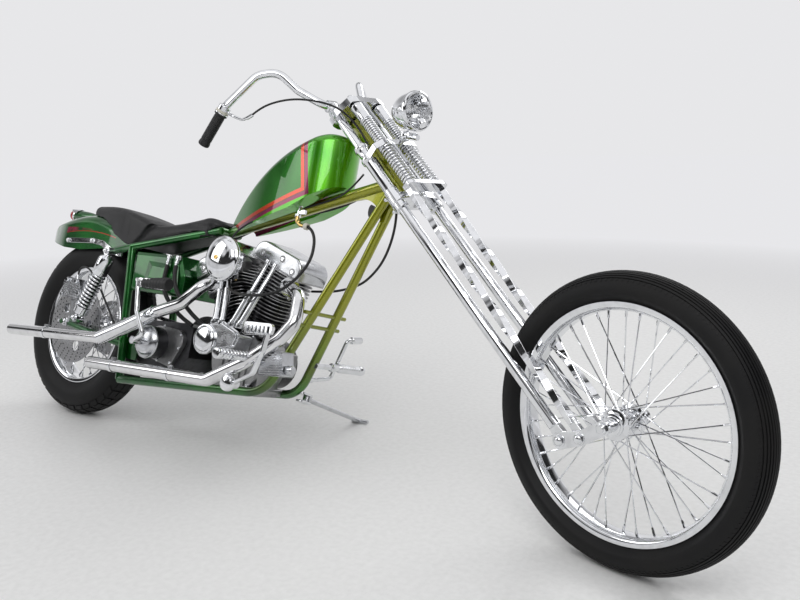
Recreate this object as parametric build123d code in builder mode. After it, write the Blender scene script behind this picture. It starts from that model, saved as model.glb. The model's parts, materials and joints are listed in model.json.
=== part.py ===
"""Chopper motorcycle with a springer fork, parked on its side stand with the bars turned right."""

import os
from math import asin, cos, degrees, radians, sin

from build123d import *

# All sizes are in millimetres and degrees.
# The machine is drawn upright: X forward and Z up from the rear axle, Y to its left.
# The fork is drawn straight ahead: Z up the steering axis, X forward, its origin level with the axle.

# Stance
WHEELBASE = 2070
RAKE = 47.0
AXLE_LEAD = 115
LEAN = 18.4
STEER = 18.0
ORIGIN_X = 1028
ORIGIN_Y = 280

# Wheels and tyres
REAR_TYRE_RADIUS = 327
REAR_TYRE_SECTION = 63
REAR_LIP_RADIUS = 217
REAR_RIM_HALF = 44
FRONT_TYRE_RADIUS = 346
FRONT_TYRE_SECTION = 45
FRONT_LIP_RADIUS = 277.5
FRONT_RIM_HALF = 29
LIP_HEIGHT = 12
LIP_THICKNESS = 3.5
SPOKE_COUNT = 40
SPOKE_GAUGE = 3.6
SPOKE_LEAD = 48
FRONT_HUB_HALF = 52
FRONT_FLANGE_HALF = 35
FRONT_FLANGE_RADIUS = 37
REAR_HUB_HALF = 66
REAR_FLANGE_HALF = 38
REAR_FLANGE_RADIUS = 50
RUNNING_GAP = 0.4

# Axles
FRONT_AXLE_RADIUS = 8
REAR_AXLE_RADIUS = 9.5
REAR_AXLE_HALF = 118
REAR_AXLE_END_RADIUS = 8
REAR_AXLE_END_LENGTH = 16

# Rear disc and sprocket
DISC_RADIUS = 146
DISC_PLANE = 74
DISC_THICKNESS = 5
SPROCKET_RADIUS = 98
SPROCKET_PLANE = 78
CHAIN_WIDTH = 16
CHAIN_DEPTH = 9
FRONT_SPROCKET_RADIUS = 45
SPROCKET_THICKNESS = 6

# Frame tubes
RAIL_DIAMETER = 28
BACKBONE_DIAMETER = 36
BACKBONE_FRONT = (1292, 0, 574)
SEAT_RAIL_DIAMETER = 26
NECK_RADIUS = 27
NECK_BOTTOM = 868
NECK_TOP = 1192
DOWNTUBE_TOP = (1300, 16, 560)
CRADLE_FRONT = (996, 78, -95)
RAIL_JOINT = (820, 90, -112)
CRADLE_REAR = (348, 102, -156)
CRADLE_BEND = 110
UPRIGHT_TOP = (288, 102, 300)
SEAT_RAIL_FRONT = (648, 40, 388)
SEAT_RAIL_REAR = (180, 102, 276)
SHOCK_TOP = (197, 124, 272)
SHOCK_FOOT = (83, 124, 22)
CROSSBAR_HEIGHTS = (124, 163)
CROSSBAR_DIAMETER = 12
CROSSBAR_HALF = 93

# Engine
CRANK = (835, -15)
ENGINE_PITCH = 4.0
VEE_HALF_ANGLE = 22.5
CASE_RADIUS = 104
CASE_HALF = 60
BARREL_START = 92
BARREL_LENGTH = 138
HEAD_LENGTH = 84
BARREL_WIDTH = 96
FIN_PITCH = 11.5
FIN_THICKNESS = 3.6
FIN_LENGTH = 150
FIN_WIDTH = 142
FIN_CORNER = 30
ROCKER_BOX_LENGTH = 214
ROCKER_BOX_WIDTH = 132
ROCKER_BOX_HEIGHT = 62
ROCKER_BOX_SHOULDER = 40
PUSHRODS = ((775, 716, 284), (806, 748, 300), (852, 907, 300), (886, 940, 290))
PUSHROD_DIAMETER = 18
PUSHROD_CLEARANCE = 4
PUSHROD_BASE_HALF = 112
PUSHROD_TOP_HALF = 62
CAM_COVER_OUTLINE = ((705, 28), (726, 72), (820, 99), (906, 69), (884, 21), (771, -7))
AIR_CLEANER = (805, 285)
CLUTCH = (520, 0)
PRIMARY_INNER = 90
PRIMARY_OUTER = 150
PRIMARY_RADII = (80, 104)
GEARBOX_OUTLINE = ((400, -90), (600, -90), (640, -40), (640, 60), (600, 70), (400, 60))
GEARBOX_HALF_RIGHT = 76
GEARBOX_HALF_LEFT = 66
OIL_TANK_OUTLINE = ((322, 150), (587, 150), (587, 222), (552, 285), (322, 285))
OIL_TANK_HALF = 112

# Bodywork
PILLION_HALF = (50, 100)
SOLO_HALF = (98, 66)
SOLO_FRONT = (590, 0)
SEAT_EDGE = 22
FENDER_HALF = 78
FENDER_WALL = 3
FENDER_CROWN = 42
STRUT_WIDTH = 18
STRUT_THICKNESS = 6
TANK_HALF = 92
TANK_FRONT = (1026, 0)
TANK_EDGE = 28
TANK_TUNNEL = 84
GUSSET_HALF = 5

# Fork
STEM_RADIUS = 15
LEG_HALF = 68
LEG_DIAMETER = 29
TOP_TREE = (NECK_TOP + 6, NECK_TOP + 30)
LEG_TOP = TOP_TREE[1] + 14
LEG_CAP_TOP = LEG_TOP + 35
LEG_PIVOT = (0, 47)
SPRING_LEG_PIVOT = (48, 19)
SPRING_LEG_WIDTH = 18
SPRING_LEG_HALF = 68
SPRING_LEG_TOP_HALF = 60
SPRING_LEG_STEPS = 16
SPRING_LEG_TWIST = 30
SPRING_PLATE_HEIGHT = NECK_BOTTOM - 18
SPRING_PLATE_THICKNESS = 14
SPRING_ROD_OFFSET = 56
SPRING_ROD_HALF = 43
LOWER_TREE_HEIGHT = NECK_BOTTOM - 18
LOWER_CLAMP = (LOWER_TREE_HEIGHT - 35, LOWER_TREE_HEIGHT + 40)
MIDDLE_BRACKET = (1003, 1027)
ROCKER_INNER = 76.5
ROCKER_THICKNESS = 10

# Handlebar
BAR_DIAMETER = 25.4
BAR_BEND = 34
GRIP_RADIUS = 17

BAR_ROUTE = (
    (-18, 0, 1288),
    (-18, 70, 1288),
    (-27, 125, 1365),
    (-24, 158, 1445),
    (-60, 205, 1470),
    (-165, 290, 1438),
    (-292, 330, 1408),
)
GRIP_LENGTH = 112
LAMP_CENTRE = (185, 0, 1020)
LAMP_RADIUS = 57

# Exhausts, on the right
EXHAUST_DIAMETER = 40
EXHAUST_BORE = 35
EXHAUST_BORE_DEPTH = 70
FRONT_PIPE = (
    (1000, -52, 232),
    (1086, -95, 205),
    (1108, -120, 128),
    (1078, -142, 70),
    (993, -175, -10),
    (866, -190, -82),
    (293, -190, -112),
)
REAR_PIPE = (
    (690, -66, 215),
    (690, -112, 200),
    (633, -140, 128),
    (546, -160, 89),
    (331, -195, -26),
    (85, -195, -42),
    (-201, -195, -60),
)

# Side stand, on the left
STAND_PIVOT = (1000, 118, -104)
STAND_FOOT = (967, 455, -172)
STAND_FOLDED = (-0.985, 0.14, -0.10)
STAND_EYE_RADIUS = 15
STAND_EYE_HEIGHT = 18
STAND_EAR = 6
STAND_PIN_RADIUS = 6
STAND_PIN_GAP = 0.05
STAND_DIAMETER = 16


def leaned(vector):
    """Turn a direction of the upright machine into the parked one."""
    return vector.rotate(Axis.X, -LEAN)


def resting_height(radius, tube, tilt):
    """Height of a tyre's centre above the floor when the wheel leans by tilt."""
    return (radius - tube) * cos(radians(tilt)) + tube


# The steering axis crosses the front wheel's plane behind the axle.
steering_axis = Vector(-sin(radians(RAKE)), 0, cos(radians(RAKE)))
steering_forward = Vector(cos(radians(RAKE)), 0, sin(radians(RAKE)))
turned_axle = leaned(Vector(0, 1, 0).rotate(Axis((0, 0, 0), steering_axis), -STEER))
turned_lead = (steering_forward * AXLE_LEAD).rotate(Axis((0, 0, 0), steering_axis), -STEER)
front_tilt = degrees(asin(-turned_axle.Z))
rear_height = resting_height(REAR_TYRE_RADIUS, REAR_TYRE_SECTION, LEAN)
front_height = resting_height(FRONT_TYRE_RADIUS, FRONT_TYRE_SECTION, front_tilt)
side_drop = -sin(radians(LEAN)) * turned_lead.Y
axis_foot_rise = (front_height - rear_height - side_drop) / cos(radians(LEAN)) - turned_lead.Z
axis_foot = Vector(WHEELBASE - AXLE_LEAD * cos(radians(RAKE)), 0, axis_foot_rise)

rear_contact = (REAR_TYRE_RADIUS - REAR_TYRE_SECTION) * sin(radians(LEAN))
bike_stance = Location((-ORIGIN_X, rear_contact - ORIGIN_Y, rear_height)) * Location((0, 0, 0), (-LEAN, 0, 0))
fork_stance = bike_stance * Location(axis_foot, (0, -RAKE, 0)) * Location((0, 0, 0), (0, 0, -STEER))
front_wheel_stance = fork_stance * Location((AXLE_LEAD, 0, 0))
up_in_bike = Vector(0, -sin(radians(LEAN)), cos(radians(LEAN)))
floor = Plane(origin=up_in_bike * -rear_height, x_dir=(1, 0, 0), z_dir=up_in_bike)
crank = Vector(CRANK[0], 0, CRANK[1])


def on_axis(along, ahead=0.0, side=0.0):
    """Point of the straight fork, given in the upright machine's frame."""
    return axis_foot + steering_axis * along + steering_forward * ahead + Vector(0, side, 0)


def right(point):
    """The same place on the machine's right side."""
    return (point[0], -point[1], point[2])


def rod(start, end, diameter, mode=Mode.ADD):
    """Add a straight round bar between two points."""
    start = Vector(*start)
    end = Vector(*end)
    with BuildSketch(Plane(origin=start, z_dir=end - start)) as face:
        Circle(diameter / 2)
    extrude(face.sketch, amount=(end - start).length, mode=mode)


def bent_tube(points, diameter, bend):
    """Add a round tube along a route whose corners are rounded."""
    with BuildLine() as route:
        FilletPolyline(*points, radius=bend)
    with BuildSketch(Plane(origin=route.line @ 0, z_dir=route.line % 0)) as face:
        Circle(diameter / 2)
    sweep(face.sketch, path=route.wires()[0])


def plate(outline, near, far):
    """Add a flat piece of a given side outline between two distances to the right."""
    with BuildSketch(Plane.XZ.offset(near)) as face:
        Polygon(*outline, align=None)
    extrude(face.sketch, amount=far - near)


def disc(centre, radius, near, far, mode=Mode.ADD):
    """Add a round piece whose axis runs across the machine, between two distances to the right."""
    with BuildSketch(Plane.XZ.offset(near)) as face:
        with Locations(centre):
            Circle(radius)
    extrude(face.sketch, amount=far - near, mode=mode)


def turned(profile, place):
    """Add a turned piece from pairs of radius and height along a plane's normal."""
    with BuildSketch(Plane(origin=place.origin, x_dir=place.x_dir, z_dir=place.x_dir.cross(place.z_dir))) as face:
        Polygon(*profile, align=None)
    revolve(face.sketch, axis=Axis(place.origin, place.z_dir))


def tyre(radius, tube, lip_radius, rim_half):
    """Add a tyre about the Y axis: round crown, straight sidewalls, bead between the rim's lips."""
    centre = radius - tube
    seat = lip_radius - LIP_HEIGHT
    bead = rim_half - LIP_THICKNESS
    with BuildSketch(Plane.XY) as face:
        with BuildLine():
            foot = Polyline((seat, bead), (seat, -bead), (lip_radius + 1, -bead), (centre, -tube))
            crown = ThreePointArc(foot @ 1, (radius, 0), (centre, tube))
            Polyline(crown @ 1, (lip_radius + 1, bead), foot @ 0)
        make_face()
    revolve(face.sketch, axis=Axis.Y)


def rim(lip_radius, rim_half):
    """Add a channel rim about the Y axis."""
    seat = lip_radius - LIP_HEIGHT
    bead = rim_half - LIP_THICKNESS
    well = seat - 9
    with BuildSketch(Plane.XY) as face:
        Polygon(
            (lip_radius, -rim_half),
            (lip_radius, -bead),
            (seat, -bead),
            (seat, bead),
            (lip_radius, bead),
            (lip_radius, rim_half),
            (seat - 3, rim_half - 1),
            (well, rim_half * 0.55),
            (well, -rim_half * 0.55),
            (seat - 3, 1 - rim_half),
            align=None,
        )
    revolve(face.sketch, axis=Axis.Y)


def hub(bore, end_radius, half, flange_radius, flange_half, barrel_radius):
    """Add a hub about the Y axis with a spoke flange near each end."""
    profile = [
        (bore, half),
        (end_radius, half),
        (end_radius, flange_half + 6),
        (flange_radius, flange_half + 4),
        (flange_radius, flange_half - 2),
        (barrel_radius, flange_half - 8),
    ]
    profile += [(radius, -side) for radius, side in reversed(profile)]
    with BuildSketch(Plane.XY) as face:
        Polygon(*profile, align=None)
    revolve(face.sketch, axis=Axis.Y)


def spokes(flange_radius, flange_half, well_radius):
    """Add laced spokes: each leaves its flange ahead of or behind the place where it meets the rim."""
    for number in range(SPOKE_COUNT):
        side = 1 if number % 2 else -1
        leading = 1 if number % 4 < 2 else -1
        outer_angle = radians(360 * number / SPOKE_COUNT)
        inner_angle = outer_angle + radians(SPOKE_LEAD * leading)
        inner = Vector(cos(inner_angle), 0, sin(inner_angle)) * (flange_radius - 4) + Vector(0, side * flange_half, 0)
        outer = Vector(cos(outer_angle), 0, sin(outer_angle)) * (well_radius + 2) + Vector(0, side * 4, 0)
        with BuildSketch(Plane(origin=inner, z_dir=outer - inner)) as face:
            Rectangle(SPOKE_GAUGE, SPOKE_GAUGE)
        extrude(face.sketch, amount=(outer - inner).length)


def twisted_bar(start, end, width, steps, twist):
    """Add a square bar between two points, turned by twist at each step."""
    start = Vector(*start)
    end = Vector(*end)
    along = end - start
    faces = []
    for step in range(steps + 1):
        place = Plane(origin=start + along * (step / steps), z_dir=along, x_dir=(0, 1, 0))
        with BuildSketch(place.rotated((0, 0, step * twist))) as face:
            Rectangle(width, width)
        faces.append(face.sketch)
    loft(faces, ruled=True)


def coils(bottom, top, turns, outer, inner):
    """Outline of a close-wound spring's outside, from its foot to its head."""
    pitch = (top - bottom) / turns
    points = []
    for turn in range(turns):
        points.append((inner, bottom + pitch * turn))
        points.append((outer, bottom + pitch * (turn + 0.5)))
    points.append((inner, top))
    return points


# Tyres and wire wheels
with BuildPart() as rear_tyre:
    tyre(REAR_TYRE_RADIUS, REAR_TYRE_SECTION, REAR_LIP_RADIUS, REAR_RIM_HALF)
rear_tyre.part.label = "rear_tyre"

with BuildPart() as front_tyre:
    tyre(FRONT_TYRE_RADIUS, FRONT_TYRE_SECTION, FRONT_LIP_RADIUS, FRONT_RIM_HALF)
front_tyre.part.label = "front_tyre"

with BuildPart() as front_wheel:
    rim(FRONT_LIP_RADIUS, FRONT_RIM_HALF)
    hub(FRONT_AXLE_RADIUS + RUNNING_GAP, 26, FRONT_HUB_HALF, FRONT_FLANGE_RADIUS, FRONT_FLANGE_HALF, 20)
    spokes(FRONT_FLANGE_RADIUS, FRONT_FLANGE_HALF, FRONT_LIP_RADIUS - LIP_HEIGHT - 9)
front_wheel.part.label = "front_wheel"

with BuildPart() as rear_wheel:
    rim(REAR_LIP_RADIUS, REAR_RIM_HALF)
    hub(REAR_AXLE_RADIUS + RUNNING_GAP, 34, REAR_HUB_HALF, REAR_FLANGE_RADIUS, REAR_FLANGE_HALF, 32)
    spokes(REAR_FLANGE_RADIUS, REAR_FLANGE_HALF, REAR_LIP_RADIUS - LIP_HEIGHT - 9)
rear_wheel.part.label = "rear_wheel"

# Rear disc and sprocket, bolted to the hub's ends
with BuildPart() as rear_disc:
    disc((0, 0), DISC_RADIUS, DISC_PLANE - DISC_THICKNESS / 2, DISC_PLANE + DISC_THICKNESS / 2)
    with BuildSketch(Plane.XZ.offset(DISC_PLANE - DISC_THICKNESS / 2)):
        with PolarLocations(DISC_RADIUS - 62, 5):
            Circle(20)
    extrude(amount=DISC_THICKNESS, mode=Mode.SUBTRACT)
    disc((0, 0), 34, REAR_HUB_HALF, DISC_PLANE)
    disc((0, 0), REAR_AXLE_RADIUS + RUNNING_GAP, 0, 2 * DISC_PLANE, Mode.SUBTRACT)
rear_disc.part.label = "rear_disc"

with BuildPart() as rear_sprocket:
    disc((0, 0), SPROCKET_RADIUS, -SPROCKET_PLANE - SPROCKET_THICKNESS / 2, -SPROCKET_PLANE + SPROCKET_THICKNESS / 2)
    with BuildSketch(Plane.XZ.offset(-SPROCKET_PLANE - SPROCKET_THICKNESS / 2)):
        with PolarLocations(SPROCKET_RADIUS - 36, 6):
            Circle(15)
    extrude(amount=SPROCKET_THICKNESS, mode=Mode.SUBTRACT)
    disc((0, 0), 34, -SPROCKET_PLANE, -REAR_HUB_HALF)
    disc((0, 0), REAR_AXLE_RADIUS + RUNNING_GAP, -2 * SPROCKET_PLANE, 0, Mode.SUBTRACT)
rear_sprocket.part.label = "rear_sprocket"

# Frame: neck and backbone
with BuildPart() as frame_backbone:
    rod((SEAT_RAIL_FRONT[0], 0, SEAT_RAIL_FRONT[2]), BACKBONE_FRONT, BACKBONE_DIAMETER)
    rod(on_axis(NECK_BOTTOM), on_axis(NECK_TOP), 2 * NECK_RADIUS)
    with BuildSketch(Plane.XZ):
        with BuildLine():
            web_corner = ThreePointArc((1190, 521), (1232, 506), (1262, 455))
            Polyline(web_corner @ 1, (1276, 455), (1306, 580), (1060, 500), web_corner @ 0)
        make_face()
    extrude(amount=GUSSET_HALF, both=True)
    rod(on_axis(NECK_BOTTOM - 5), on_axis(NECK_TOP + 5), 2 * (STEM_RADIUS + 1), Mode.SUBTRACT)
frame_backbone.part.label = "frame_backbone"

# Frame: downtubes that bend into the lower rails, with two crossbars
with BuildPart() as frame_downtubes:
    bent_tube([right(DOWNTUBE_TOP), right(CRADLE_FRONT), right(RAIL_JOINT)], RAIL_DIAMETER, CRADLE_BEND)
    mirror(about=Plane.XZ)
    slope = (DOWNTUBE_TOP[0] - CRADLE_FRONT[0]) / (DOWNTUBE_TOP[2] - CRADLE_FRONT[2])
    for height in CROSSBAR_HEIGHTS:
        bar_x = CRADLE_FRONT[0] + slope * (height - CRADLE_FRONT[2])
        rod((bar_x, -CROSSBAR_HALF, height), (bar_x, CROSSBAR_HALF, height), CROSSBAR_DIAMETER)
    rod(on_axis(NECK_BOTTOM - 60), on_axis(NECK_TOP), 2 * NECK_RADIUS, Mode.SUBTRACT)
    add(frame_backbone.part, mode=Mode.SUBTRACT)
frame_downtubes.part.label = "frame_downtubes"

# Frame: lower rails
with BuildPart() as frame_lower_rails:
    rod(right(RAIL_JOINT), right(CRADLE_REAR), RAIL_DIAMETER)
    mirror(about=Plane.XZ)
    rod((700, -92, -124), (700, 92, -124), 22)
    rod((430, -98, -148), (430, 98, -148), 22)
    add(frame_downtubes.part, mode=Mode.SUBTRACT)
frame_lower_rails.part.label = "frame_lower_rails"

# Frame: rear uprights and seat rails
with BuildPart() as frame_rear:
    rod(right(CRADLE_REAR), right(UPRIGHT_TOP), RAIL_DIAMETER)
    rod(right(SEAT_RAIL_REAR), right(UPRIGHT_TOP), SEAT_RAIL_DIAMETER)
    rod(right(UPRIGHT_TOP), right(SEAT_RAIL_FRONT), SEAT_RAIL_DIAMETER)
    mirror(about=Plane.XZ)
    rod(right(SEAT_RAIL_FRONT), SEAT_RAIL_FRONT, SEAT_RAIL_DIAMETER)
    plate([(322, -80), (400, -84), (400, -16), (322, -10)], -92, -86)
    plate([(322, -80), (400, -84), (400, -16), (322, -10)], 86, 92)
    add(frame_lower_rails.part, mode=Mode.SUBTRACT)
    add(frame_backbone.part, mode=Mode.SUBTRACT)
frame_rear.part.label = "frame_rear"

# Swingarm with its pivot tube and the rear axle
with BuildPart() as swingarm:
    bent_tube([(-34, -104, 0), (240, -104, -30), (318, -66, -44), (352, -60, -48)], 24, 20)
    mirror(about=Plane.XZ)
    rod((366, -62, -49), (366, 62, -49), 34)
    rod((366, -86, -49), (366, 86, -49), 20)
    rod((0, -REAR_AXLE_HALF, 0), (0, REAR_AXLE_HALF, 0), 2 * REAR_AXLE_RADIUS)
    disc((0, 0), REAR_AXLE_END_RADIUS, REAR_AXLE_HALF, REAR_AXLE_HALF + REAR_AXLE_END_LENGTH)
    disc((0, 0), REAR_AXLE_END_RADIUS, -REAR_AXLE_HALF - REAR_AXLE_END_LENGTH, -REAR_AXLE_HALF)
    rod((0, -94, 0), (0, -DISC_PLANE - DISC_THICKNESS / 2 - RUNNING_GAP, 0), 30)
    rod((0, 94, 0), (0, SPROCKET_PLANE + SPROCKET_THICKNESS / 2 + RUNNING_GAP, 0), 30)
    add(frame_rear.part, mode=Mode.SUBTRACT)
swingarm.part.label = "swingarm"

# Rear shocks: foot, coils and cover in line
shock_length = (Vector(*SHOCK_TOP) - Vector(*SHOCK_FOOT)).length
shock_profile = [(0, 0), (9, 0), (9, 14), (17, 14), (17, 40)]
shock_profile += coils(46, shock_length - 66, 9, 27, 19)
shock_profile += [(24, shock_length - 62), (24, shock_length - 16), (9, shock_length - 10), (9, shock_length)]
shock_profile += [(0, shock_length)]
with BuildPart() as shock_right:
    turned(shock_profile, Plane(origin=right(SHOCK_FOOT), x_dir=(0, 1, 0), z_dir=Vector(*right(SHOCK_TOP)) - Vector(*right(SHOCK_FOOT))))
    disc((SHOCK_TOP[0], SHOCK_TOP[2]), 12, 115, 134)
    disc((SHOCK_FOOT[0], SHOCK_FOOT[2]), 12, 116, 134)
    add(frame_rear.part, mode=Mode.SUBTRACT)
    add(swingarm.part, mode=Mode.SUBTRACT)
shock_right.part.label = "shock_right"

with BuildPart() as shock_left:
    mirror(shock_right.part, about=Plane.XZ)
shock_left.part.label = "shock_left"

# Engine: crankcase under two cylinders in a vee
cylinder_tilts = {"front": VEE_HALF_ANGLE - ENGINE_PITCH, "rear": -VEE_HALF_ANGLE - ENGINE_PITCH}


def cylinder_plane(tilt, height=0.0):
    """Plane across a cylinder at a height above the crank; its X axis points forward."""
    up = Vector(sin(radians(tilt)), 0, cos(radians(tilt)))
    return Plane(origin=crank + up * height, x_dir=(cos(radians(tilt)), 0, -sin(radians(tilt))), z_dir=up)


with BuildPart() as crankcase:
    disc(CRANK, CASE_RADIUS, -CASE_HALF, CASE_HALF)
    for tilt in cylinder_tilts.values():
        with BuildSketch(cylinder_plane(tilt)):
            Rectangle(120, 2 * CASE_HALF)
        extrude(amount=BARREL_START)
    with BuildSketch(Plane.XZ):
        with Locations((CRANK[0], CRANK[1] - 50)):
            Rectangle(190, 100)
    extrude(amount=CASE_HALF - 12, both=True)
crankcase.part.label = "crankcase"

def pushrods(diameter, mode=Mode.ADD):
    """Add the four straight tubes that climb from the cam cover to the rocker boxes."""
    for base_x, top_x, top_z in PUSHRODS:
        rod((base_x, -PUSHROD_BASE_HALF, 96), (top_x, -PUSHROD_TOP_HALF, top_z), diameter, mode)


vee_plane = Plane(origin=crank, z_dir=(cos(radians(ENGINE_PITCH)), 0, sin(radians(ENGINE_PITCH))))
vee_sides = {"front": Keep.TOP, "rear": Keep.BOTTOM}
cylinders = []
rocker_boxes = []
for name, tilt in cylinder_tilts.items():
    with BuildPart() as cylinder:
        with BuildSketch(cylinder_plane(tilt, BARREL_START)):
            RectangleRounded(BARREL_WIDTH, BARREL_WIDTH, 20)
        extrude(amount=BARREL_LENGTH + HEAD_LENGTH)
        for fin in range(int((BARREL_LENGTH + HEAD_LENGTH) / FIN_PITCH)):
            with BuildSketch(cylinder_plane(tilt, BARREL_START + FIN_PITCH * (fin + 0.5))) as fin_face:
                Rectangle(FIN_LENGTH, FIN_WIDTH)
                chamfer(fin_face.vertices(), FIN_CORNER)
            extrude(amount=FIN_THICKNESS)
        add(crankcase.part, mode=Mode.SUBTRACT)
        pushrods(PUSHROD_DIAMETER + 2 * PUSHROD_CLEARANCE, Mode.SUBTRACT)
        split(bisect_by=vee_plane.offset(0.5 if name == "front" else -0.5), keep=vee_sides[name])
    cylinder.part.label = f"cylinder_{name}"
    cylinders.append(cylinder)
    with BuildPart() as rocker_box:
        seat_plane = cylinder_plane(tilt, BARREL_START + BARREL_LENGTH + HEAD_LENGTH)
        with BuildSketch(Plane(origin=seat_plane.origin, x_dir=seat_plane.x_dir, z_dir=(0, -1, 0))) as box_face:
            Rectangle(ROCKER_BOX_LENGTH, ROCKER_BOX_HEIGHT, align=(Align.CENTER, Align.MIN))
            fillet(box_face.vertices().sort_by(Axis.Y)[-2:], ROCKER_BOX_SHOULDER)
        extrude(amount=ROCKER_BOX_WIDTH / 2, both=True)
        fillet(rocker_box.faces().filter_by(Axis.Y).edges(), 7)
    rocker_box.part.label = f"rocker_box_{name}"
    rocker_boxes.append(rocker_box)

# Pushrod tubes on the right side, two to each cylinder
with BuildPart() as pushrod_tubes:
    pushrods(PUSHROD_DIAMETER)
    for base_x, _, _ in PUSHRODS:
        rod((base_x, -PUSHROD_BASE_HALF, 84), (base_x, -PUSHROD_BASE_HALF, 98), 24)
    for piece in rocker_boxes:
        add(piece.part, mode=Mode.SUBTRACT)
pushrod_tubes.part.label = "pushrod_tubes"

# Cam cover with its round cap
with BuildPart() as cam_cover:
    plate(CAM_COVER_OUTLINE, CASE_HALF, 128)
    fillet(cam_cover.faces().sort_by(Axis.Y)[0].edges(), 8)
    disc((760, 33), 46, 120, 142)
    for piece in [pushrod_tubes] + cylinders:
        add(piece.part, mode=Mode.SUBTRACT)
cam_cover.part.label = "cam_cover"

# Air cleaner: a domed round cover on the right of the vee
with BuildPart() as air_cleaner:
    place = Plane(origin=(AIR_CLEANER[0], -150, AIR_CLEANER[1]), x_dir=(1, 0, 0), z_dir=(0, -1, 0))
    turned([(0, 0), (66, 0), (70, 4), (70, 12), (52, 28), (0, 36)], place)
air_cleaner.part.label = "air_cleaner"

with BuildPart() as carburettor:
    rod((AIR_CLEANER[0], -150, AIR_CLEANER[1]), (AIR_CLEANER[0], -60, AIR_CLEANER[1]), 46)
    with BuildSketch(Plane.XZ.offset(96)):
        with Locations(AIR_CLEANER):
            Rectangle(74, 66)
    extrude(amount=44)
    for piece in cylinders + rocker_boxes:
        add(piece.part, mode=Mode.SUBTRACT)
carburettor.part.label = "carburettor"

# Primary case on the left
with BuildPart() as primary_case:
    with BuildSketch(Plane.XZ.offset(-PRIMARY_OUTER)):
        with Locations(CRANK):
            Circle(PRIMARY_RADII[0])
        with Locations(CLUTCH):
            Circle(PRIMARY_RADII[1])
        make_hull()
    extrude(amount=PRIMARY_OUTER - PRIMARY_INNER)
    fillet(primary_case.faces().sort_by(Axis.Y)[-1].edges(), 12)
    disc(CRANK, 50, -PRIMARY_INNER, -CASE_HALF)
primary_case.part.label = "primary_case"

# Gearbox behind the crankcase
with BuildPart() as gearbox:
    plate(GEARBOX_OUTLINE, -GEARBOX_HALF_LEFT, GEARBOX_HALF_RIGHT)
    disc((500, -10), 52, GEARBOX_HALF_RIGHT, 140)
    disc(CLUTCH, FRONT_SPROCKET_RADIUS, -SPROCKET_PLANE - CHAIN_WIDTH / 2, -GEARBOX_HALF_LEFT)
    disc(CLUTCH, 22, -PRIMARY_INNER, -GEARBOX_HALF_LEFT)
gearbox.part.label = "gearbox"

with BuildPart() as kick_lever:
    rod((500, -140, -10), (500, -198, -10), 26)
    bent_tube([(500, -188, -10), (562, -207, 13), (512, -208, 84), (492, -208, 186)], 15, 12)
    with BuildSketch(Plane.XZ.offset(198)):
        with Locations((590, 176)):
            RectangleRounded(112, 30, 12)
    extrude(amount=24)
    rod((484, -208, 184), (560, -208, 178), 13)
    add(gearbox.part, mode=Mode.SUBTRACT)
kick_lever.part.label = "kick_lever"

with BuildPart() as oil_tank:
    plate(OIL_TANK_OUTLINE, -OIL_TANK_HALF, OIL_TANK_HALF)
    fillet(oil_tank.edges().filter_by(Axis.Y), 14)
    add(frame_rear.part, mode=Mode.SUBTRACT)
oil_tank.part.label = "oil_tank"

# Drive chain, a closed loop over both sprockets
with BuildPart() as drive_chain:
    with BuildSketch(Plane.XZ.offset(-SPROCKET_PLANE - CHAIN_WIDTH / 2)):
        Circle(SPROCKET_RADIUS + RUNNING_GAP + CHAIN_DEPTH)
        with Locations(CLUTCH):
            Circle(FRONT_SPROCKET_RADIUS + RUNNING_GAP + CHAIN_DEPTH)
        make_hull()
    extrude(amount=CHAIN_WIDTH)
    with BuildSketch(Plane.XZ.offset(-SPROCKET_PLANE - CHAIN_WIDTH / 2)):
        Circle(SPROCKET_RADIUS + RUNNING_GAP)
        with Locations(CLUTCH):
            Circle(FRONT_SPROCKET_RADIUS + RUNNING_GAP)
        make_hull()
    extrude(amount=CHAIN_WIDTH, mode=Mode.SUBTRACT)
drive_chain.part.label = "drive_chain"

def open_end(route):
    """Bore the last stretch of an exhaust pipe."""
    mouth = Vector(*route[-1])
    inward = (Vector(*route[-2]) - mouth).normalized()
    rod(mouth - inward, mouth + inward * EXHAUST_BORE_DEPTH, EXHAUST_BORE, Mode.SUBTRACT)


# Exhaust pipes
with BuildPart() as exhaust_front:
    bent_tube(FRONT_PIPE, EXHAUST_DIAMETER, 45)
    open_end(FRONT_PIPE)
    for piece in [frame_downtubes] + cylinders:
        add(piece.part, mode=Mode.SUBTRACT)
exhaust_front.part.label = "exhaust_front"

with BuildPart() as exhaust_rear:
    bent_tube(REAR_PIPE, EXHAUST_DIAMETER, 40)
    open_end(REAR_PIPE)
    for piece in cylinders:
        add(piece.part, mode=Mode.SUBTRACT)
exhaust_rear.part.label = "exhaust_rear"

# Rear fender: a pressed shell with a rounded crown and a leaf-shaped tail
FENDER_TIP = (-350, 308)
FENDER_REAR = (-120, 402)
FENDER_FRONT = (262, 318)


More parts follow.
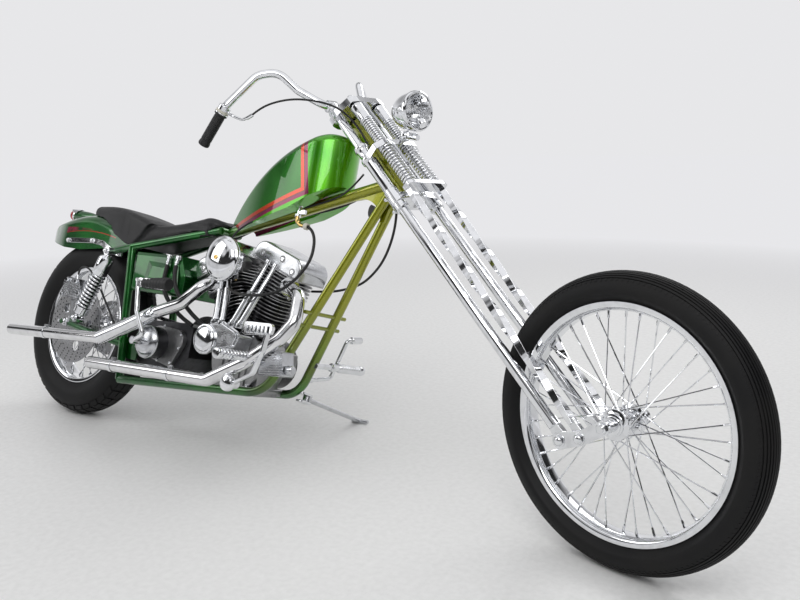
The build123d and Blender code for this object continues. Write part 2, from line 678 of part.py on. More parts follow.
def fender_form(inset, drop=0):
    """Add the fender's solid form, smaller all round by inset and let down below its edge by drop."""
    with BuildSketch(Plane.XZ) as side_face:
        with BuildLine():
            tail_arc = ThreePointArc(FENDER_TIP, (-255, 360 - inset), (FENDER_REAR[0], FENDER_REAR[1] - inset))
            crown_arc = ThreePointArc(tail_arc @ 1, (90, 396 - inset), (FENDER_FRONT[0], FENDER_FRONT[1] - inset))
            foot = [(FENDER_FRONT[0], 298), (94, 287), (-57, 273), (-160, 276), (-271, 293)]
            foot = [(x, z - drop) for x, z in foot]
            Polyline(crown_arc @ 1, *foot, tail_arc @ 0)
        make_face()
    form = extrude(side_face.sketch, amount=FENDER_HALF - inset, both=True)
    long_edges = [edge for edge in form.edges() if abs(edge.center().Y) > FENDER_HALF - FENDER_CROWN and edge.center().Z > 345]
    fillet(long_edges, FENDER_CROWN - inset)
    with BuildSketch(Plane.XY.offset(100)) as plan_face:
        with BuildLine():
            leaf = ThreePointArc((-110, FENDER_HALF - inset), (-248, 56 - inset), (FENDER_TIP[0] + inset, 0))
            other = ThreePointArc(leaf @ 1, (-248, inset - 56), (-110, inset - FENDER_HALF))
            Polyline(other @ 1, (FENDER_FRONT[0], inset - FENDER_HALF), (FENDER_FRONT[0], FENDER_HALF - inset), leaf @ 0)
        make_face()
    extrude(plan_face.sketch, amount=400, mode=Mode.INTERSECT)


with BuildPart() as fender_outside:
    fender_form(0)
with BuildPart() as fender_inside:
    fender_form(FENDER_WALL, 60)
with BuildPart() as rear_fender:
    add(fender_outside.part)
    add(fender_inside.part, mode=Mode.SUBTRACT)
rear_fender.part.label = "rear_fender"

# Fender struts: flat bars with a slotted end, bolted outside the fender and at the shock mounts
with BuildPart() as fender_struts:
    with BuildSketch(Plane.XZ.offset(FENDER_HALF)) as strut_face:
        Polygon(
            (-142, 294),
            (-142, 294 + STRUT_WIDTH),
            (22, 301 + STRUT_WIDTH),
            (84, 296 + STRUT_WIDTH),
            (152, 270 + STRUT_WIDTH),
            (206, 262 + STRUT_WIDTH),
            (206, 262),
            (146, 268),
            (74, 296),
            (20, 301),
            align=None,
        )
        fillet(strut_face.vertices().sort_by(Axis.X)[:2], STRUT_WIDTH / 2 - 0.5)
        with Locations((-126, 303)):
            SlotOverall(24, 7, mode=Mode.SUBTRACT)
    extrude(amount=STRUT_THICKNESS)
    mirror(about=Plane.XZ)
    for piece in (frame_rear, shock_right, shock_left):
        add(piece.part, mode=Mode.SUBTRACT)
fender_struts.part.label = "fender_struts"

# Tail lamp: a hooded bullet on the fender's crown, with a bezel and a domed lens
with BuildPart() as tail_lamp:
    place = Plane(origin=(-92, 0, 409), x_dir=(0, 1, 0), z_dir=(-1, 0, 0.02))
    turned([(0, 0), (12, 12), (18, 44), (21, 88), (21, 138), (24, 140), (24, 150), (19, 152), (16, 162), (0, 169)], place)
    add(fender_outside.part, mode=Mode.SUBTRACT)
tail_lamp.part.label = "tail_lamp"

# Fuel tank: side outline crossed with a teardrop plan, its upper edges rounded, over a tunnel for the backbone
with BuildPart() as fuel_tank:
    with BuildSketch(Plane.XZ):
        with BuildLine():
            crown = ThreePointArc((700, 465), (874, 621), (1052, 703))
            nose = TangentArc(crown @ 1, (TANK_FRONT[0] + TANK_HALF + 20, 688), tangent=crown % 1)
            belly = ThreePointArc((TANK_FRONT[0] + TANK_HALF + 20, 566), (1060, 516), (966, 467))
            Line(nose @ 1, belly @ 0)
            Polyline(belly @ 1, (732, 392), (676, 388), crown @ 0)
        make_face()
    extrude(amount=TANK_HALF + 10, both=True)
    with BuildSketch(Plane.XY.offset(350)):
        with BuildLine():
            front = CenterArc(TANK_FRONT, TANK_HALF, -90, 180)
            near_side = TangentArc(front @ 0, (676, -24), tangent=(-1, 0))
            far_side = TangentArc(front @ 1, (676, 24), tangent=(-1, 0))
            Line(near_side @ 1, far_side @ 1)
        make_face()
    extrude(amount=400, mode=Mode.INTERSECT)
    upper = [edge for edge in fuel_tank.edges() if edge.center().Z > 560 and abs(edge.center().Y) > 20]
    fillet(upper, TANK_EDGE)
    rod((SEAT_RAIL_FRONT[0], 0, SEAT_RAIL_FRONT[2] - 20), (BACKBONE_FRONT[0], 0, BACKBONE_FRONT[2] - 20), TANK_TUNNEL, Mode.SUBTRACT)
    add(frame_rear.part, mode=Mode.SUBTRACT)
    add(frame_backbone.part, mode=Mode.SUBTRACT)
fuel_tank.part.label = "fuel_tank"

# Seat: a raised pillion pad over the fender runs into a wider solo pad between the rails
with BuildPart() as pillion:
    with BuildSketch(Plane.XZ):
        with BuildLine():
            back = ThreePointArc((-46, 404), (-52, 430), (-16, 449))
            brow = ThreePointArc(back @ 1, (160, 440), (350, 392))
            Polyline(brow @ 1, (310, 340), (266, 304), (226, 308), (120, 346), (7, 387), back @ 0)
        make_face()
    extrude(amount=PILLION_HALF[1], both=True)
    with BuildSketch(Plane.XY.offset(280)):
        Polygon(
            (-60, PILLION_HALF[0]),
            (-60, -PILLION_HALF[0]),
            (240, -PILLION_HALF[1]),
            (360, -PILLION_HALF[1]),
            (360, PILLION_HALF[1]),
            (240, PILLION_HALF[1]),
            align=None,
        )
    extrude(amount=200, mode=Mode.INTERSECT)
    fillet([edge for edge in pillion.edges() if edge.center().Z > 410 and abs(edge.center().Y) > 30], SEAT_EDGE)
with BuildPart() as solo:
    with BuildSketch(Plane.XZ):
        with BuildLine():
            dip = ThreePointArc((262, 384), (440, 397), (575, 427))
            nose = TangentArc(dip @ 1, (SOLO_FRONT[0] + 100, 378), tangent=dip % 1)
            Polyline(nose @ 1, (656, 372), (466, 336), (270, 302), dip @ 0)
        make_face()
    extrude(amount=SOLO_HALF[0], both=True)
    with BuildSketch(Plane.XY.offset(280)):
        with BuildLine():
            tip = CenterArc(SOLO_FRONT, SOLO_HALF[1], -90, 180)
            near_flank = TangentArc(tip @ 0, (262, -SOLO_HALF[0]), tangent=(-1, 0))
            far_flank = TangentArc(tip @ 1, (262, SOLO_HALF[0]), tangent=(-1, 0))
            Line(near_flank @ 1, far_flank @ 1)
        make_face()
    extrude(amount=200, mode=Mode.INTERSECT)
    fillet([edge for edge in solo.edges() if edge.center().Z > 385 and abs(edge.center().Y) > 30], SEAT_EDGE)
with BuildPart() as seat:
    add(pillion.part)
    add(solo.part)
    for piece in (fender_outside, tail_lamp, fuel_tank, frame_rear, frame_backbone):
        add(piece.part, mode=Mode.SUBTRACT)
seat.part.label = "seat"

# Foot controls
with BuildPart() as right_controls:
    rod((1000, -88, 8), (1000, -300, 8), 26)
    rod((957, -150, -75), (957, -190, -75), 34)
    bent_tube([(957, -178, -75), (1029, -186, -34), (1034, -200, 92), (1036, -216, 92)], 12, 8)
    plate([(1001, 72), (1075, 84), (1072, 112), (1001, 100)], 206, 224)
    plate([(979, -53), (1113, -30), (1113, 12), (1040, 42), (979, 30)], 92, 150)
    for piece in (frame_downtubes, frame_lower_rails, crankcase, exhaust_front):
        add(piece.part, mode=Mode.SUBTRACT)
right_controls.part.label = "right_controls"

with BuildPart() as left_controls:
    rod((1060, 70, 8), (1060, 300, 8), 26)
    bent_tube([(1020, 96, -40), (1020, 190, -30), (1060, 196, 100), (1060, 260, 106)], 14, 14)
    for piece in (frame_downtubes, frame_lower_rails, crankcase):
        add(piece.part, mode=Mode.SUBTRACT)
left_controls.part.label = "left_controls"

# Rear brake caliper over the disc
with BuildPart() as rear_caliper:
    plate([(-80, 92), (-50, 165), (20, 160), (52, 110), (30, 86)], 62, 108)
    disc((0, 0), DISC_RADIUS + 5, DISC_PLANE - 6, DISC_PLANE + 6, Mode.SUBTRACT)
    plate([(-14, 0), (-30, 100), (30, 100), (14, 0)], 84, 92)
    add(swingarm.part, mode=Mode.SUBTRACT)
rear_caliper.part.label = "rear_caliper"

# Side stand: an eye between two ears on the left rail, a leg to the floor and a curled foot
stand_out = (Vector(*STAND_FOOT) - Vector(*STAND_PIVOT)).normalized()
stand_axis = stand_out.cross(Vector(*STAND_FOLDED)).normalized()
stand_plane = Plane(origin=STAND_PIVOT, x_dir=stand_out, z_dir=stand_axis)
stand_travel = stand_out.get_angle(Vector(*STAND_FOLDED))
with BuildPart() as stand_bracket:
    for height in (-STAND_EYE_HEIGHT / 2 - RUNNING_GAP - STAND_EAR, STAND_EYE_HEIGHT / 2 + RUNNING_GAP):
        with BuildSketch(stand_plane.offset(height)):
            Circle(STAND_EYE_RADIUS)
            with Locations((-34, 0)):
                Circle(14)
            make_hull()
        extrude(amount=STAND_EAR)
    with BuildSketch(stand_plane.offset(-STAND_EYE_HEIGHT / 2 - RUNNING_GAP - STAND_EAR)):
        Circle(STAND_PIN_RADIUS)
    extrude(amount=STAND_EYE_HEIGHT + 2 * (RUNNING_GAP + STAND_EAR))
    for piece in (frame_downtubes, frame_lower_rails):
        add(piece.part, mode=Mode.SUBTRACT)
stand_bracket.part.label = "stand_bracket"

with BuildPart() as side_stand:
    with BuildSketch(stand_plane.offset(-STAND_EYE_HEIGHT / 2)):
        Circle(STAND_EYE_RADIUS)
    extrude(amount=STAND_EYE_HEIGHT)
    rod(STAND_PIVOT, STAND_FOOT, STAND_DIAMETER)
    rod(Vector(*STAND_FOOT) + Vector(-26, -4, 0), Vector(*STAND_FOOT) + Vector(34, 6, 0), STAND_DIAMETER)
    with BuildSketch(stand_plane.offset(-STAND_EYE_HEIGHT)):
        Circle(STAND_PIN_RADIUS + STAND_PIN_GAP)
    extrude(amount=2 * STAND_EYE_HEIGHT, mode=Mode.SUBTRACT)
    split(bisect_by=floor, keep=Keep.TOP)
side_stand.part.label = "side_stand"

# Springer fork. From here on Z runs up the steering axis.
with BuildPart() as fork_rigid_legs:
    for side in (-1, 1):
        turned(
            [
                (0, 74),
                (LEG_DIAMETER / 2, 80),
                (LEG_DIAMETER / 2, LOWER_CLAMP[1]),
                (17, LOWER_CLAMP[1]),
                (17, 1012),
                (22, 1014),
                (22, 1024),
                (17, 1026),
                (17, 1060),
                (22, 1062),
                (22, 1072),
                (LEG_DIAMETER / 2, 1074),
                (LEG_DIAMETER / 2, LEG_TOP),
                (20, LEG_TOP),
                (20, LEG_TOP + 12),
                (10, LEG_CAP_TOP),
                (0, LEG_CAP_TOP),
            ],
            Plane(origin=(0, side * LEG_HALF, 0), x_dir=(1, 0, 0), z_dir=(0, 0, 1)),
        )
    with BuildSketch(Plane.XZ.offset(ROCKER_INNER - 15)):
        with Locations(LEG_PIVOT):
            Circle(15)
        with Locations((0, 80)):
            Rectangle(22, 20)
        make_hull()
    extrude(amount=15)
    with BuildSketch(Plane.XZ.offset(-ROCKER_INNER)):
        with Locations(LEG_PIVOT):
            Circle(15)
        with Locations((0, 80)):
            Rectangle(22, 20)
        make_hull()
    extrude(amount=15)
fork_rigid_legs.part.label = "fork_rigid_legs"

with BuildPart() as fork_trees:
    with BuildSketch(Plane.XY.offset(LOWER_TREE_HEIGHT - 12)):
        with Locations((0, LEG_HALF), (0, -LEG_HALF), (6, 0)):
            Circle(24)
        make_hull()
    extrude(amount=25)
    with BuildSketch(Plane.XY.offset(LOWER_CLAMP[0])):
        with Locations((0, LEG_HALF), (0, -LEG_HALF)):
            Circle(20)
    extrude(amount=LOWER_CLAMP[1] - LOWER_CLAMP[0])
    with BuildSketch(Plane.XY.offset(TOP_TREE[0])):
        with Locations((20, 0)):
            RectangleRounded(110, 2 * LEG_HALF + 46, 22)
    extrude(amount=TOP_TREE[1] - TOP_TREE[0])
    with BuildSketch(Plane.XY.offset(LOWER_TREE_HEIGHT - 12)):
        Circle(STEM_RADIUS)
    extrude(amount=TOP_TREE[1] - LOWER_TREE_HEIGHT + 12)
    with BuildSketch(Plane.XY.offset(TOP_TREE[1])):
        RegularPolygon(17, 6)
    extrude(amount=14)
    for side in (-45, 45):
        rod((-18, side, TOP_TREE[1]), (-18, side, 1288), 26)
    add(fork_rigid_legs.part, mode=Mode.SUBTRACT)
fork_trees.part.label = "fork_trees"

# Rockers at the fork's foot, with the axle
with BuildPart() as fork_rockers:
    for near in (ROCKER_INNER, -ROCKER_INNER - ROCKER_THICKNESS):
        with BuildSketch(Plane.XZ.offset(near)):
            with Locations(LEG_PIVOT):
                Circle(22)
            with Locations(SPRING_LEG_PIVOT):
                Circle(18)
            with Locations((AXLE_LEAD, 0)):
                Circle(20)
            make_hull()
        extrude(amount=ROCKER_THICKNESS)
    for near in (ROCKER_INNER + ROCKER_THICKNESS, -ROCKER_INNER - ROCKER_THICKNESS - 11):
        with BuildSketch(Plane.XZ.offset(near)):
            with Locations(LEG_PIVOT, SPRING_LEG_PIVOT, (AXLE_LEAD, 0)):
                Circle(13)
        extrude(amount=11)
    disc((AXLE_LEAD, 0), FRONT_AXLE_RADIUS, -ROCKER_INNER, ROCKER_INNER)
    for near in (FRONT_HUB_HALF + RUNNING_GAP, -ROCKER_INNER):
        disc((AXLE_LEAD, 0), 15, near, near + ROCKER_INNER - FRONT_HUB_HALF - RUNNING_GAP)
fork_rockers.part.label = "fork_rockers"

# Spring rods with their chrome covers and caps
with BuildPart() as fork_spring_rods:
    for side in (-SPRING_ROD_HALF, SPRING_ROD_HALF):
        turned(
            [
                (0, 857),
                (7, 857),
                (7, 1132),
                (19, 1132),
                (19, TOP_TREE[0] - 4),
                (9, TOP_TREE[0] - 4),
                (9, TOP_TREE[1]),
                (14, TOP_TREE[1]),
                (14, TOP_TREE[1] + 8),
                (8, TOP_TREE[1] + 20),
                (0, TOP_TREE[1] + 22),
            ],
            Plane(origin=(SPRING_ROD_OFFSET, side, 0), x_dir=(1, 0, 0), z_dir=(0, 0, 1)),
        )
fork_spring_rods.part.label = "fork_spring_rods"

with BuildPart() as fork_springs:
    for side in (-SPRING_ROD_HALF, SPRING_ROD_HALF):
        place = Plane(origin=(SPRING_ROD_OFFSET, side, 0), x_dir=(1, 0, 0), z_dir=(0, 0, 1))
        turned([(7, 857)] + coils(857, MIDDLE_BRACKET[0], 8, 21, 14) + [(7, MIDDLE_BRACKET[0])], place)
        turned([(7, MIDDLE_BRACKET[1])] + coils(MIDDLE_BRACKET[1], 1132, 7, 18, 12) + [(7, 1132)], place)
fork_springs.part.label = "fork_springs"

# Middle bracket around the neck, which also carries the lamp
with BuildPart() as fork_bracket:
    with BuildSketch(Plane.XY.offset(MIDDLE_BRACKET[0])):
        with Locations((32, 0)):
            RectangleRounded(94, 174, 20)
        Circle(NECK_RADIUS + 7, mode=Mode.SUBTRACT)
        with Locations((-30, 0)):
            Rectangle(60, 2 * NECK_RADIUS + 14, mode=Mode.SUBTRACT)
    extrude(amount=MIDDLE_BRACKET[1] - MIDDLE_BRACKET[0])
    bent_tube([(70, 0, 1010), (112, 0, 1004), (135, 0, 962)], 18, 16)
    add(fork_rigid_legs.part, mode=Mode.SUBTRACT)
    add(fork_spring_rods.part, mode=Mode.SUBTRACT)
fork_bracket.part.label = "fork_bracket"
fork_trees.part = fork_trees.part - fork_spring_rods.part
fork_trees.part.label = "fork_trees"

# Twisted spring legs under the spring plate
with BuildPart() as fork_spring_legs:
    with BuildSketch(Plane.XY.offset(SPRING_PLATE_HEIGHT - SPRING_PLATE_THICKNESS / 2)):
        with Locations((SPRING_ROD_OFFSET + 4, 0)):
            RectangleRounded(34, 150, 12)
    extrude(amount=SPRING_PLATE_THICKNESS)
    twisted_bar(
        (SPRING_LEG_PIVOT[0], SPRING_LEG_HALF, 56),
        (52, SPRING_LEG_TOP_HALF, SPRING_PLATE_HEIGHT - SPRING_PLATE_THICKNESS / 2),
        SPRING_LEG_WIDTH,
        SPRING_LEG_STEPS,
        SPRING_LEG_TWIST,
    )
    with BuildSketch(Plane.XZ.offset(-ROCKER_INNER)):
        with Locations(SPRING_LEG_PIVOT):
            Circle(12)
        with Locations((SPRING_LEG_PIVOT[0], 56)):
            Rectangle(16, 8)
        make_hull()
    extrude(amount=15)
    mirror(about=Plane.XZ)
fork_spring_legs.part.label = "fork_spring_legs"

# Handlebar and grips
bar_end = Vector(*BAR_ROUTE[-1])
bar_run = (bar_end - Vector(*BAR_ROUTE[-2])).normalized()
with BuildPart() as handlebar:
    bent_tube(BAR_ROUTE, BAR_DIAMETER, BAR_BEND)
    mirror(about=Plane.XZ)
    add(fork_trees.part, mode=Mode.SUBTRACT)
handlebar.part.label = "handlebar"

with BuildPart() as grips:
    rod(bar_end - bar_run * GRIP_LENGTH, bar_end + bar_run * 4, 2 * GRIP_RADIUS)
    mirror(about=Plane.XZ)
    add(handlebar.part, mode=Mode.SUBTRACT)
grips.part.label = "grips"

control_point = bar_end - bar_run * (GRIP_LENGTH + 14)
with BuildPart() as hand_controls:
    rod(control_point - bar_run * 12, control_point + bar_run * 12, 38)
    lever_side = Vector(0.25, 0.35, 0)
    rod(control_point + Vector(8, 4, 0), control_point + Vector(44, 26, 4), 18)
    rod(control_point + Vector(44, 26, 4), control_point + Vector(-60, 88, -20), 10)
    rod(right(tuple(control_point - bar_run * 12)), right(tuple(control_point + bar_run * 12)), 38)
    add(handlebar.part, mode=Mode.SUBTRACT)
    add(grips.part, mode=Mode.SUBTRACT)
hand_controls.part.label = "hand_controls"

# Headlamp
with BuildPart() as headlamp:
    lamp_forward = Vector(cos(radians(RAKE)), 0, -sin(radians(RAKE)))
    place = Plane(origin=LAMP_CENTRE, x_dir=(0, 1, 0), z_dir=lamp_forward)
    turned(
        [(0, -84), (22, -78), (44, -56), (53, -30), (55, -8), (LAMP_RADIUS, -8), (LAMP_RADIUS, 8), (50, 10), (30, 18), (0, 21)],
        place,
    )
    add(fork_bracket.part, mode=Mode.SUBTRACT)
headlamp.part.label = "headlamp"

# Each piece is moved into the parked stance and written out.
chassis_pieces = [frame_backbone, frame_downtubes, frame_lower_rails, frame_rear, swingarm, shock_right, shock_left]
chassis_pieces += [fuel_tank, oil_tank, seat, rear_fender, fender_struts, tail_lamp]
chassis_pieces += [crankcase, *cylinders, *rocker_boxes, pushrod_tubes, cam_cover, air_cleaner, carburettor]
chassis_pieces += [primary_case, gearbox, kick_lever, drive_chain, exhaust_front, exhaust_rear]
chassis_pieces += [right_controls, left_controls, rear_caliper, stand_bracket]
wheel_pieces = [rear_tyre, rear_wheel, rear_disc, rear_sprocket]
fork_pieces = [fork_rigid_legs, fork_trees, fork_rockers, fork_spring_rods, fork_springs, fork_bracket]
fork_pieces += [fork_spring_legs, handlebar, grips, hand_controls, headlamp]

placed_pieces = (
    (bike_stance, chassis_pieces + wheel_pieces + [side_stand]),
    (fork_stance, fork_pieces),
    (front_wheel_stance, [front_tyre, front_wheel]),
)
os.makedirs("parts", exist_ok=True)
for stance, pieces in placed_pieces:
    for piece in pieces:
        piece.part.move(stance)
        export_step(piece.part, f"parts/{piece.part.label}.step")
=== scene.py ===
"""Chopper motorcycle: finishes, soft parts and fine pieces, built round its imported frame."""

import json
import logging
import math
from contextlib import contextmanager
from dataclasses import dataclass, field
from enum import Enum
from typing import Callable, Iterable, Iterator, Sequence

import bmesh
import bpy
from mathutils import Matrix, Vector


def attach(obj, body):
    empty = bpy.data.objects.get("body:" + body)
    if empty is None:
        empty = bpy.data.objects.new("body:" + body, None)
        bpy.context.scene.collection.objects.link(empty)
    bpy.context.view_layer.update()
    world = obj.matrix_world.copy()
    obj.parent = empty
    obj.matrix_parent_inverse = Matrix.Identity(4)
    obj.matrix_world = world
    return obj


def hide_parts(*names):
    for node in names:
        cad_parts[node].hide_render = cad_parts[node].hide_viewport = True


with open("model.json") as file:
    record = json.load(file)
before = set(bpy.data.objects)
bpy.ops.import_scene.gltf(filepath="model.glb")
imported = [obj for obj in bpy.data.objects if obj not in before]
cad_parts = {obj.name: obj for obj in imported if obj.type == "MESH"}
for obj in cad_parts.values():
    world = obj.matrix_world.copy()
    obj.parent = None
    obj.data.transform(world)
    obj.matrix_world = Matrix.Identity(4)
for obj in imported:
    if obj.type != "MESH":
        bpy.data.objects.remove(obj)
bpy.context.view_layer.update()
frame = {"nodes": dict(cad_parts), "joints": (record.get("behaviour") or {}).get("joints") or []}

LOG = logging.getLogger("chopper")
MM = 0.001
MERGE_DISTANCE = 2e-6
SIDES = (-1, 1)
ORIGIN, UP, LEFT, RIGHT = (0, 0, 0), (0, 0, 1), (0, 1, 0), (0, -1, 0)
Point = Sequence[float]
Profile = Sequence[tuple[float, float]]


class Body(Enum):
    """The rigid bodies of the frame that pieces ride on."""

    CHASSIS = "chassis"
    FORK = "fork"
    FRONT_WHEEL = "front_wheel"
    REAR_WHEEL = "rear_wheel"
    STAND = "side_stand"


def joint(name: str) -> dict:
    """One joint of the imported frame, by name."""
    return next(entry for entry in frame["joints"] if entry["name"] == name)


@dataclass(frozen=True)
class Stance:
    """A local frame in millimetres, placed in the parked machine's frame.

    Attributes:
        matrix: Turns local millimetres into metres of the parked machine.
    """

    matrix: Matrix

    @staticmethod
    def from_axes(origin: Vector, across: Vector, upward: Vector) -> "Stance":
        """Builds a frame from its origin, its Y axis and its rough Z axis.

        Args:
            origin: Origin in metres.
            across: Y axis.
            upward: Z axis, squared up to the Y axis.

        Returns:
            The stance.
        """
        y_axis = across.normalized()
        x_axis = y_axis.cross(upward).normalized()
        z_axis = x_axis.cross(y_axis)
        turn = Matrix((x_axis, y_axis, z_axis)).transposed().to_4x4()
        return Stance(Matrix.Translation(origin) @ turn @ Matrix.Scale(MM, 4))


REAR_SPIN = joint("rear_wheel_spin")
FRONT_SPIN = joint("front_wheel_spin")
STEERING = joint("steering")
STEERING_AXIS = Vector(STEERING["axis"])
AXIS_POINT_HEIGHT = 0.9

BIKE = Stance.from_axes(
    Vector(REAR_SPIN["pos_m"]), Vector(REAR_SPIN["axis"]), Vector((1, 0, 0)).cross(Vector(REAR_SPIN["axis"])),
)
FORK = Stance.from_axes(
    Vector(STEERING["pos_m"]) - STEERING_AXIS * AXIS_POINT_HEIGHT, Vector(FRONT_SPIN["axis"]), STEERING_AXIS,
)
FRONT_AXLE = Stance.from_axes(Vector(FRONT_SPIN["pos_m"]), Vector(FRONT_SPIN["axis"]), STEERING_AXIS)


def corner_arc(before: Vector, corner: Vector, after: Vector, radius: float, most: float, steps: int,
               least: float = 0.0) -> list[Vector]:
    """Points along the arc that takes a corner's place.

    Args:
        before: Point before the corner.
        corner: The corner.
        after: Point after it.
        radius: Bend radius, less where a run is too short for it.
        most: Share of a run that the arc may take up.
        steps: Steps along the arc.
        least: Smallest half angle that is reckoned with.

    Returns:
        The points, the ends included.
    """
    back, ahead = before - corner, after - corner
    half = max(back.angle(ahead) / 2, least)
    reach = min(radius / math.tan(half), most * back.length, most * ahead.length)
    start, end = corner + back.normalized() * reach, corner + ahead.normalized() * reach
    shares = [step / steps for step in range(steps + 1)]
    return [start * (1 - share) ** 2 + corner * 2 * share * (1 - share) + end * share**2 for share in shares]


def rounded(points: Iterable[Point], radius: float, steps: int = 6) -> list[Vector]:
    """Replaces the corners of a rigid route by arcs.

    Args:
        points: Corner points of the route.
        radius: Bend radius, less where a run is too short for it.
        steps: Points along each arc.

    Returns:
        The points of the bent route.
    """
    corners = [Vector(point) for point in points]
    route = [corners[0]]
    for before, corner, after in zip(corners, corners[1:], corners[2:]):
        route += corner_arc(before, corner, after, radius, 0.48, steps)
    return route + [corners[-1]]


def circle(radius: float, count: int = 20) -> list[tuple[float, float]]:
    """Points round a circle about the origin."""
    return [(radius * math.cos(math.tau * n / count), radius * math.sin(math.tau * n / count)) for n in range(count)]


def rectangle(width: float, height: float, corner: float = 0.0, steps: int = 4) -> list[tuple[float, float]]:
    """Points round a rectangle with rounded corners.

    Args:
        width: Size along the first axis.
        height: Size along the second axis.
        corner: Corner radius.
        steps: Points along each corner.

    Returns:
        The outline, counter-clockwise.
    """
    if corner <= 0:
        return [
            (width / 2, -height / 2), (width / 2, height / 2), (-width / 2, height / 2), (-width / 2, -height / 2),
        ]
    outline = []
    for sx, sy, start in ((1, -1, -90), (1, 1, 0), (-1, 1, 90), (-1, -1, 180)):
        for step in range(steps + 1):
            turn = math.radians(start + 90 * step / steps)
            outline.append((
                sx * (width / 2 - corner) + corner * math.cos(turn),
                sy * (height / 2 - corner) + corner * math.sin(turn),
            ))
    return outline


def round_corners(points: Profile, radius: float, steps: int = 5) -> list[tuple[float, float]]:
    """Rounds every corner of a closed flat outline.

    Args:
        points: Corners of the outline.
        radius: Corner radius, less where an edge is too short for it.
        steps: Points along each corner.

    Returns:
        The rounded outline.
    """
    corners = [Vector(point) for point in points]
    outline = []
    for before, corner, after in zip(corners[-1:] + corners, corners, corners[1:] + corners[:1]):
        outline += [(spot.x, spot.y) for spot in corner_arc(before, corner, after, radius, 0.45, steps, 0.05)]
    return outline


def hull_of_circles(circles: Sequence[tuple[float, float, float]], count: int = 40) -> list[tuple[float, float]]:
    """Outline of a band pulled tight round circles.

    Args:
        circles: Centre and radius of each circle.
        count: Directions that are tested.

    Returns:
        The outline, counter-clockwise.
    """
    outline = []
    for step in range(count):
        way = Vector((math.cos(math.tau * step / count), math.sin(math.tau * step / count)))
        _, x, y, radius = max((way.x * x + way.y * y + radius, x, y, radius) for x, y, radius in circles)
        outline.append((x + way.x * radius, y + way.y * radius))
    return outline


@dataclass(frozen=True)
class Edges:
    """How a piece's edges are finished.

    Attributes:
        bevel: Width of the bevel in millimetres.
        crease: Angle in degrees past which an edge stays sharp.
        subdivide: Levels of subdivision.
        wall: Thickness in millimetres of a shell drawn as one surface.
    """

    bevel: float = 0.0
    crease: float = 35.0
    subdivide: int = 0
    wall: float = 0.0


